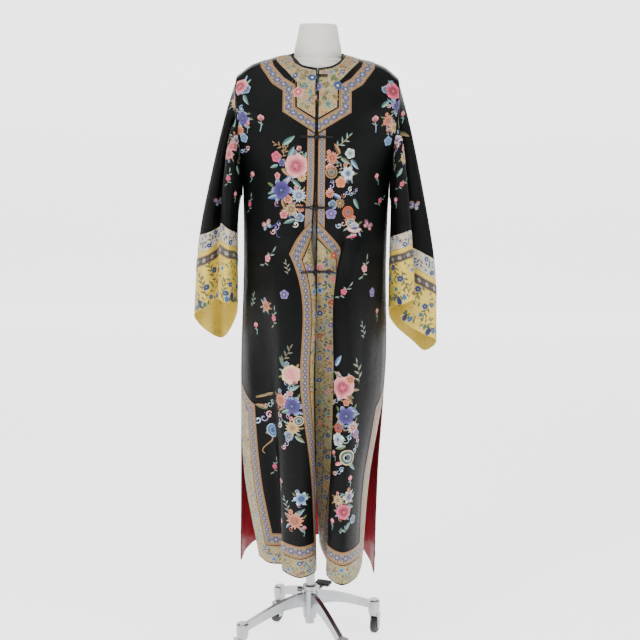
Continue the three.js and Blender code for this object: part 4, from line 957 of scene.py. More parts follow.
NECK = {"above": 3.6, "out": 1.1, "radius": 1.9}
black_cord("neck_binding", [tube_mesh(neck_line(NECK["above"], NECK["out"]), NECK["radius"], 10)])

# Distances from the opening; FROGS has each height, how far the right edge is rolled under, and extra height.
FROG_POINTS, FROG_TAIL = (38, 31, 24, 17, 11, 6), 41
FROG = {"out": 4.3, "tail_out": 2.6, "radius": 1.35, "turn": 7.4, "loop_half": 1.5, "strap_half": 1.4, "knot": 5.0}
FROGS = {"upper": (1416, 0, 0), "middle": (1240, 6, 0), "lower": (1077, 26, 2.5)}


def over_panel(name, distance, z, out):
    v = down_from_top(z)
    return panel[name].at(max(0.0, float(panel[name].across(distance, v))), v, out)


def bend(points, steps=10):
    """A smooth cord through the points."""
    points = np.asarray(points, float)
    knots = lengths(points)
    return smooth(knots, points, np.linspace(0, knots[-1], steps * len(points)))


def knot_mesh(centre, radius):
    """A knotted button: three turns of cord wound into a ball."""
    t = np.linspace(0, 2 * math.pi, 140)
    wobble = radius * 0.34 * np.cos(1.5 * 3 * t)
    ring = radius * (0.66 + 0.1 * np.cos(3 * t))
    points = np.stack([ring * np.cos(2 * t), wobble * 1.5, ring * np.sin(2 * t)], -1) + centre
    core = [(0.0, -radius * 0.8)] + [(radius * 0.8 * math.cos(a), radius * 0.8 * math.sin(a))
                                     for a in np.linspace(-1.3, 1.3, 9)] + [(0.0, radius * 0.8)]
    core_points, core_faces = lathe_mesh([(max(r, 0.05), z) for r, z in core], 20)
    return join([tube_mesh(points, radius * 0.3), (core_points + centre, core_faces)])


for height, (z, roll, more) in FROGS.items():
    out, turn, half = FROG["out"] + more, FROG["turn"], FROG["loop_half"]
    tail = lambda name, shift, rise: over_panel(name, FROG_TAIL + shift, z + rise, FROG["tail_out"])
    right = lambda rise: [tail("front_right", roll, rise)] + [
        over_panel("front_right", d + roll, z + rise, out) for d in FROG_POINTS]
    left = [tail("front_left", 0, 0)] + [over_panel("front_left", d, z, out) for d in FROG_POINTS]
    y = min(right(0)[-1][1], left[-1][1]) - 2.5
    loop = [*right(half), (0, y, z + turn), (turn, y, z), (0, y, z - turn), *right(-half)[::-1]]
    black_cord(f"frog_loop_{height}", [tube_mesh(bend(loop), FROG["radius"])])
    strap = lambda rise: bend([*(p + (0, 0, rise) for p in left), (turn + 6, y - 5.5, z + rise), (2, y - 4.5, z)])
    black_cord(f"frog_knot_{height}", [knot_mesh(np.array((0, y, z)), FROG["knot"])] + [
        tube_mesh(strap(sign * FROG["strap_half"]), FROG["radius"]) for sign in (1, -1)])

NECK_KNOT_Z, NECK_KNOT_OUT = 1569, 7.6
strap = []
for x in (26, 19, 12, 3):
    strap.append(panel["front_left"].at(*locate(panel["front_left"], x, NECK_KNOT_Z)) - (0, NECK_KNOT_OUT, 0))
black_cord("neck_knot", [knot_mesh(strap[-1] - (0, 1, 0), 4.8)] + [
    tube_mesh(bend([p + (0, 0, rise) for p in strap]), 1.5) for rise in (1.7, -1.7)])
print("binding and buttons done")

# %% [markdown]
# The dress form is a smooth padded shell in plain linen. Its sections are the solid's own, with more of them.
# %% Dress form
FORM = (
    (880, 150, 80, 88, 2.2), (890, 158, 88, 96, 2.2), (950, 166, 94, 108, 2.2), (1030, 146, 92, 98, 2.1),
    (1120, 124, 86, 84, 2), (1220, 140, 102, 90, 2), (1320, 158, 114, 98, 2), (1410, 164, 102, 94, 2),
    (1480, 174, 82, 80, 1.8), (1530, 186, 64, 60, 1.6), (1562, 192, 54, 52, 1.4), (1579, 182, 50, 50, 1.3),
    (1592, 146, 50, 49, 1.25), (1603, 96, 48, 47, 1.25), (1613, 62, 45, 46, 1.8), (1626, 61.5, 48, 47, 1.9),
    (1640, 60, 49.5, 48, 2), (1665, 54, 49, 48, 2), (1690, 49.5, 47.5, 47.5, 2), (1696, 48, 46, 46, 2),
    (1699, 45, 43, 43, 2),
)
FORM_AROUND = 96
sections = np.array(FORM, float)
heights = np.unique(np.concatenate([np.linspace(880, 1560, 60), np.linspace(1560, 1699, 60), sections[:, 0]]))
table = np.stack([np.interp(heights, sections[:, 0], sections[:, k]) for k in range(1, 5)], -1)
angle = np.linspace(0, 2 * math.pi, FORM_AROUND + 1)
c, s = np.cos(angle), np.sin(angle)
half, front, back, power = (table[:, k, None] for k in range(4))
radius = (abs(c) ** power + abs(s) ** power) ** (-1 / power)
shell = np.stack(np.broadcast_arrays(half * c * radius, np.where(s < 0, front, back) * s * radius,
                                     heights[:, None] + 0 * c), -1) * (0.997, 0.997, 1)
points = shell[:, :-1].reshape(-1, 3)
own = np.stack([np.tile(np.arange(FORM_AROUND) * 6.0, len(heights)), np.repeat(heights, FORM_AROUND)], -1)
dress(mesh_piece("form", points, ring_faces(len(heights), FORM_AROUND), "linen", [linen.material], own, auto=60),
      "form")
print("form done")

# %% [markdown]
# The stand keeps its solids' shapes, in satin cast metal and grey rubber.
# %% Stand
for node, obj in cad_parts.items():
    if obj.hide_render:
        continue
    finish = rubber if node.startswith(("wheel", "pedal_pad")) else metal
    obj.data.materials.clear()
    obj.data.materials.append(finish.material)
print("stand dressed")

# %% [markdown]
# The embroidery is satin stitch: small raised petals, leaves and stems that follow the cloth under them.
# Each figure is drawn flat in millimetres and laid on the cloth at its place, so it bends with the folds.
# %% Stitches
DYES = {
    "blush": (0.86, 0.52, 0.50), "pink": (0.76, 0.24, 0.36), "rose": (0.56, 0.05, 0.19),
    "crimson": (0.34, 0.004, 0.09), "peach": (0.82, 0.48, 0.34), "cream": (0.76, 0.64, 0.42),
    "white": (0.80, 0.80, 0.76), "ice": (0.44, 0.58, 0.70), "blue": (0.10, 0.24, 0.46),
    "navy": (0.04, 0.07, 0.22), "indigo": (0.07, 0.05, 0.28), "violet": (0.20, 0.12, 0.40),
    "lilac": (0.44, 0.36, 0.58), "teal": (0.07, 0.26, 0.27), "mint": (0.34, 0.54, 0.48),
    "olive": (0.22, 0.24, 0.09), "green": (0.12, 0.27, 0.10), "brown": (0.25, 0.14, 0.06),
    "tan": (0.52, 0.36, 0.19), "rust": (0.46, 0.12, 0.05), "orange": (0.64, 0.26, 0.09),
    "lemon": (0.78, 0.66, 0.30), "black": (0.02, 0.02, 0.02), "dull": (0.34, 0.28, 0.14),
}
thread = Finish("thread", 0.4, Anisotropic=0.35, Sheen_Weight=0.1)
along_thread, _ = thread.along_across()
strands = thread.math("SINE", thread.times(along_thread, 2 * math.pi / 0.55))
dye = thread.node("ShaderNodeAttribute", attribute_name="dye")
# The dye is scaled in step with the strands' relief: a painted highlight on the crest of each stitch and painted
# shade in the grooves between them.
painted_stitch_shade = thread.plus(0.93, thread.times(strands, 0.07))
scaled = thread.node("ShaderNodeVectorMath", operation="SCALE")
thread.link(dye.outputs["Color"], scaled.inputs[0])
thread.link(painted_stitch_shade, scaled.inputs["Scale"])
thread.colour(scaled.outputs[0]).bump(strands, 0.00008)


def tint(name, spread=0.10):
    return np.array(DYES[name]) ** 1.75 * (1 + random.uniform(-spread, spread))


def patch(xy, height, dye):
    return np.asarray(xy, float), np.asarray(height, float), np.asarray(dye, float)


def petal(x, y, turn, length, width, root, tip, peak=1.4, rise=0.5, lift=0.0, notch=0.0, rows=6, columns=5):
    """One petal from its root at (x, y), pointing along turn; peak over 1 puts its widest part near the tip."""
    t, k = np.linspace(0, 1, rows)[:, None], np.linspace(-1, 1, columns)[None, :]
    half = width / 2 * np.maximum(np.sin(math.pi * t ** peak), 0) ** 0.75 + 0.04 * width * (1 - t)
    a, b = k * half, length * (t - notch * t ** 3 * (1 - abs(k)))
    c, s = math.cos(turn), math.sin(turn)
    xy = np.stack(np.broadcast_arrays(x + a * s + b * c, y - a * c + b * s), -1)[:, ::-1]
    height = lift + rise * (1 - k ** 2) * np.sqrt(np.maximum(np.sin(math.pi * (0.08 + 0.84 * t)), 0))
    root, tip = tint(root), tint(tip)
    share = np.clip(t ** 2.2 + 0.35 * k ** 2 * t, 0, 1)[..., None]
    return patch(xy[:, ::-1], height[:, ::-1], (root + (tip - root) * share)[:, ::-1])


def stem(points, width, colour, lift=0.05, end=None):
    """A line of stem stitch."""
    points = np.asarray(points, float)
    flat = np.column_stack([points, np.zeros(len(points))])
    knots = lengths(flat)
    line = smooth(knots, points, np.linspace(0, knots[-1], max(6, 4 * len(points))))
    way = np.gradient(line, axis=0)
    way /= np.linalg.norm(way, axis=1, keepdims=True) + 1e-9
    side = np.stack([-way[:, 1], way[:, 0]], -1)
    half = width / 2 * np.linspace(1, 1 if end is None else end, len(line))[:, None, None]
    k = np.array((-1.0, 0, 1))[None, :, None]
    xy = line[:, None] - side[:, None] * half * k
    height = np.broadcast_to(lift + 0.4 * (1 - k[..., 0] ** 2), xy.shape[:2])
    return patch(xy, height, np.broadcast_to(tint(colour), (*xy.shape[:2], 3)))


def disc(x, y, radius, colour, rim=None, lift=0.3):
    """A round knot or centre."""
    a = np.linspace(0, 2 * math.pi, 13)[None, :]
    r = np.array((0.02, 0.6, 1.0))[:, None] * radius
    xy = np.stack([x + r * np.cos(a), y + r * np.sin(a)], -1)[:, ::-1]
    height = np.broadcast_to(lift + 0.5 * (1 - (r / radius) ** 2), xy.shape[:2])
    middle, edge = tint(colour), tint(rim or colour)
    dye = middle + (edge - middle) * np.broadcast_to((r / radius)[..., None], (*xy.shape[:2], 1))
    return patch(xy[::-1], height[::-1], dye[::-1])


def curl(x, y, turn, size, colour, width=1.6, turns=1.3, hand=1, lift=0.1):
    """A cloud scroll: a spiral that opens outward."""
    t = np.linspace(0.06, 1, 16)
    a = turn + hand * 2 * math.pi * turns * t
    r = size / 2 * t
    return stem(np.stack([x + r * np.cos(a), y + r * np.sin(a)], -1), width, colour, lift, 0.5)


def leaf(x, y, turn, length, width, dark="teal", light="mint", lift=0.0):
    """Two halves on a midrib, one darker than the other."""
    shift = width * 0.16
    made = []
    for side, colour in ((1, dark), (-1, light)):
        px, py = x - side * shift * math.sin(turn), y + side * shift * math.cos(turn)
        made.append(petal(px, py, turn - side * 0.06, length, width * 0.62, colour, light if side < 0 else dark,
                          0.85, 0.35, lift, rows=5, columns=3))
    c, s = math.cos(turn), math.sin(turn)
    tip = (x + 0.9 * length * c, y + 0.9 * length * s)
    return made + [stem([(x, y), tip], max(0.5, width * 0.06), "tan", lift + 0.35)]


def peony(size, outer="blush", middle="pink", inner="crimson", heart="lemon"):
    made, start = [], random.uniform(0, 1)
    for count, reach, breadth, root, tip, lift in (
        (8, 0.50, 0.44, middle, outer, 0.0), (7, 0.40, 0.36, inner, outer, 0.35), (6, 0.29, 0.28, inner, middle, 0.7),
        (4, 0.18, 0.18, middle, inner, 1.0),
    ):
        for k in range(count):
            turn = start + 2 * math.pi * (k + random.uniform(-0.15, 0.15)) / count
            near = 0.12 * size * reach
            out = size * reach * random.uniform(0.9, 1.06)
            made.append(petal(near * math.cos(turn), near * math.sin(turn), turn, out, size * breadth, root, tip,
                              1.7, 0.6, lift, 0.12))
        start += 0.5
    return made + [disc(0, 0, size * 0.055, heart, "orange", 1.6)]


def aster(size, root="rust", tip="peach", heart="brown", count=13, rings=2):
    made = []
    for ring in range(rings):
        for k in range(count):
            turn = 2 * math.pi * (k + 0.5 * ring + random.uniform(-0.12, 0.12)) / count
            near = 0.1 * size
            made.append(petal(near * math.cos(turn), near * math.sin(turn), turn, size * (0.40 - 0.13 * ring),
                              size * 1.5 / count, root, tip, 1.3, 0.4, 0.3 * ring, rows=5, columns=3))
    return made + [disc(0, 0, size * 0.11, heart, "tan", 0.5)]


def blossom(size, root="pink", tip="blush", heart="lemon", count=5):
    made = []
    for k in range(count):
        turn = 2 * math.pi * k / count + 0.3
        made.append(petal(0, 0, turn, size * 0.5, size * 0.44, root, tip, 1.7, 0.5, 0.1 * (k % 2), 0.1))
    return made + [disc(0, 0, size * 0.11, heart, "brown", 0.5)]


def star(size, root="indigo", tip="violet", edge="ice", count=6):
    """A deep blue flower with pale turned-back tips."""
    made = []
    for k in range(count):
        turn = 2 * math.pi * k / count
        c, s = math.cos(turn), math.sin(turn)
        made.append(petal(0.26 * size * c, 0.26 * size * s, turn, size * 0.26, size * 0.26, tip, edge, 1.0, 0.4))
        made.append(petal(0, 0, turn + 0.25, size * 0.40, size * 0.34, root, tip, 1.5, 0.6, 0.25))
    for k in range(5):
        made.append(petal(0, 0, 2 * math.pi * k / 5 + 0.5, size * 0.22, size * 0.2, "navy", root, 1.5, 0.5, 0.6))
    return made + [disc(0, 0, size * 0.05, "ice", "violet", 1.1)]


def bud(size, root="pink", tip="blush", stalk="mint"):
    made = [stem([(0, -0.62 * size), (0.05 * size, -0.3 * size), (0, 0)], 0.05 * size, stalk)]
    for turn, reach in ((1.95, 0.42), (1.2, 0.44), (1.57, 0.5)):
        made.append(petal(0, -0.05 * size, turn, reach * size, 0.26 * size, root, tip, 1.4, 0.5, 0.1))
    made += leaf(0, -0.2 * size, 2.6, 0.26 * size, 0.1 * size)
    return made + leaf(0, -0.28 * size, 0.6, 0.22 * size, 0.09 * size)


def spray(size, root="pink", tip="blush", dark="teal", light="mint"):
    """A small blossom on a leafy twig."""
    line = np.array(((-0.3, -0.5), (-0.05, -0.1), (0.3, 0.45))) * size
    made = [stem(line, 0.04 * size, "brown")]
    for x, y, turn, reach in ((-0.25, -0.4, 3.4, 0.32), (-0.16, -0.25, -0.4, 0.3), (0.14, 0.2, 0.3, 0.3),
                              (0.28, 0.42, 1.1, 0.34), (0.1, 0.15, 2.4, 0.24)):
        made += leaf(x * size, y * size, turn, reach * size, 0.12 * size, dark, light)
    return made + moved(blossom(0.42 * size, root, tip), -0.02 * size, 0.0, 0.4)


def twig(size, dark="brown", light="tan", stalk="brown", count=5):
    """A leafy stem that rises to a point."""
    made = [stem([(0, -0.5 * size), (0.06 * size, 0), (0, 0.5 * size)], 0.035 * size, stalk)]
    for k in range(count):
        y, side = (-0.4 + 0.8 * k / count) * size, 1 if k % 2 else -1
        made += leaf(0.03 * size, y, math.pi / 2 - side * 0.85, 0.3 * size, 0.12 * size, dark, light)
    return made + leaf(0, 0.4 * size, math.pi / 2, 0.26 * size, 0.1 * size, dark, light)


def scrolls(size, first="indigo", second="blush", third="ice"):
    """Ribbon scrolls: three curls side by side in two colours each."""
    made = []
    for x, y, turn, reach, colour, hand in ((0, 0, 0.2, 0.62, first, 1), (0.34, 0.2, 2.0, 0.46, second, -1),
                                            (-0.34, -0.16, 4.0, 0.5, third, -1)):
        made.append(curl(x * size, y * size, turn, reach * size, colour, 0.11 * size, 1.2, hand))
        made.append(curl(x * size, y * size, turn + 0.25, 0.8 * reach * size, "white", 0.03 * size, 1.0, hand, 0.55))
    return made


def rings(size, colour="teal", edge="cream", middle="navy"):
    made = [disc(0, 0, 0.46 * size, middle, colour, 0.1)]
    for share, dyed, breadth in ((0.48, edge, 0.08), (0.36, colour, 0.09), (0.24, edge, 0.06)):
        a = np.linspace(0, 2 * math.pi, 14)
        loop = np.stack([share * size * np.cos(a), share * size * np.sin(a)], -1)
        made.append(stem(loop, breadth * size, dyed, 0.5))
    return made


def bowl(size, first="blush", second="white", third="navy"):
    """A striped bowl of fruit, seen from the side."""
    made = [petal(0, 0.05 * size, 3 * math.pi / 2, 0.42 * size, 0.9 * size, third, third, 0.8, 0.3)]
    for k, colour in enumerate((first, second, first)):
        a = np.linspace(math.pi * 1.08, math.pi * 1.92, 9)
        r = (0.46 - 0.09 * k) * size
        made.append(stem(np.stack([r * np.cos(a), 0.05 * size + 0.8 * r * np.sin(a)], -1), 0.06 * size, colour, 0.4))
    for k in range(5):
        turn = math.pi * (0.16 + 0.17 * k)
        made.append(petal(0, 0.02 * size, turn, 0.36 * size, 0.2 * size, "lilac", second, 1.3, 0.5, 0.2))
    return made


def butterfly(size, first="peach", second="indigo", third="ice"):
    made = []
    for turn, reach, breadth, root, tip in ((0.75, 0.55, 0.36, first, second), (-0.5, 0.4, 0.3, second, third)):
        for side in (turn, math.pi - turn):
            made.append(petal(0, 0, side, reach * size, breadth * size, root, tip, 1.6, 0.5))
            made.append(petal(0.08 * size * math.cos(side), 0.08 * size * math.sin(side), side, 0.55 * reach * size,
                              0.4 * breadth * size, third, first, 1.4, 0.3, 0.45, rows=5, columns=3))
    for side in (1, -1):
        feeler = np.array(((0, 0.1), (side * 0.12, 0.34), (side * 0.26, 0.4))) * size
        made.append(stem(feeler, 0.02 * size, "tan"))
    return made + [petal(0, 0.16 * size, -math.pi / 2, 0.4 * size, 0.08 * size, "brown", "black", 1, 0.7, 0.4)]


def tendril(size, colour="tan"):
    """A long loose tail of ribbon."""
    a = np.linspace(0, 1, 9)
    return [stem(np.stack([0.3 * size * np.sin(5.5 * a), (0.5 - a) * size], -1), 0.09 * size, colour, 0.1, 0.4)]


def moved(patches, x, y, lift=0.0):
    return [(xy + (x, y), height + lift, dye) for xy, height, dye in patches]


STITCH_RISE = 0.4                           # of each figure's own relief
COMPANY = 7
FILLERS = ((("teal", "mint"), ("olive", "tan"), ("green", "olive"), ("blue", "ice")),
           (("indigo", "ice"), ("violet", "blush"), ("tan", "rose"), ("blue", "white")))


def company(size):
    """Leaves, curls and small flowers that peep out from behind a large figure."""
    made = []
    for k in range(COMPANY):
        turn = 2 * math.pi * (k + random.uniform(-0.3, 0.3)) / COMPANY
        near = size * random.uniform(0.34, 0.44)
        x, y = near * math.cos(turn), near * math.sin(turn)
        if k % 3 < 2:
            made += leaf(x, y, turn + random.uniform(-0.6, 0.6), size * random.uniform(0.28, 0.42), 0.16 * size,
                         *random.choice(FILLERS[0]))
        elif k % 2:
            first, second = random.choice(FILLERS[1])
            x, y = 1.35 * x, 1.35 * y
            made.append(curl(x, y, turn, 0.3 * size, first, 0.06 * size, 1.2, 1))
            made.append(curl(x, y, turn + 0.3, 0.24 * size, second, 0.03 * size, 1.0, 1, 0.4))
        else:
            pair = random.choice((("rose", "blush"), ("navy", "ice"), ("rust", "peach")))
            made += moved(blossom(0.3 * size, *pair), 1.5 * x, 1.5 * y)
    return made


class Stitches:
    """All the stitches on one piece, gathered into one mesh."""

    def __init__(self):
        self.points, self.faces, self.dyes, self.own, self.count = [], [], [], [], 0

    def add(self, place, patches):
        for xy, height, dye in patches:
            n, m = height.shape
            self.points.append(place(xy.reshape(-1, 2), STITCH_RISE * height.ravel()))
            self.faces.append(grid_faces(n, m, self.count))
            self.dyes.append(np.clip(dye.reshape(-1, 3), 0, 1))
            across = np.cumsum(np.concatenate([np.zeros((n, 1)), np.linalg.norm(np.diff(xy, axis=1), axis=2)], 1), 1)
            down = np.cumsum(np.concatenate([np.zeros((1, m)), np.linalg.norm(np.diff(xy, axis=0), axis=2)], 0), 0)
            self.own.append(np.stack([across, down], -1).reshape(-1, 2))
            self.count += n * m

    def build(self, name, slot):
        dyes = np.concatenate(self.dyes)
        dyes = np.column_stack([dyes, np.ones(len(dyes))])
        return mesh_piece(name, np.concatenate(self.points), np.concatenate(self.faces), slot, [thread.material],
                          np.concatenate(self.own), dye=dyes)


def ground(surface, u, v, out, heading=None, turn=0.0):
    """Lays flat millimetres on the cloth round (u, v); heading is the flat x axis, the world's X if left out."""
    e = 2e-3
    pu = (surface.at(u + e, v) - surface.at(u - e, v)) / (2 * e)
    pv = (surface.at(u, min(v + e, 1)) - surface.at(u, max(v - e, 0))) / (min(v + e, 1) - max(v - e, 0))
    normal = surface.at(u, v, 1.0) - surface.at(u, v)
    x = np.array((-math.copysign(1, normal[1]), 0, 0)) if heading is None else np.asarray(heading, float)
    x = x - normal * (x @ normal)
    x /= np.linalg.norm(x)
    y = np.cross(normal, x)
    c, s = math.cos(turn), math.sin(turn)
    x, y = c * x + s * y, c * y - s * x
    back = np.linalg.pinv(np.stack([pu, pv], 1))

    def place(xy, height):
        step = (xy[:, :1] * x + xy[:, 1:] * y) @ back.T
        return surface.at(u + step[:, 0], v + step[:, 1], out + height)

    return place


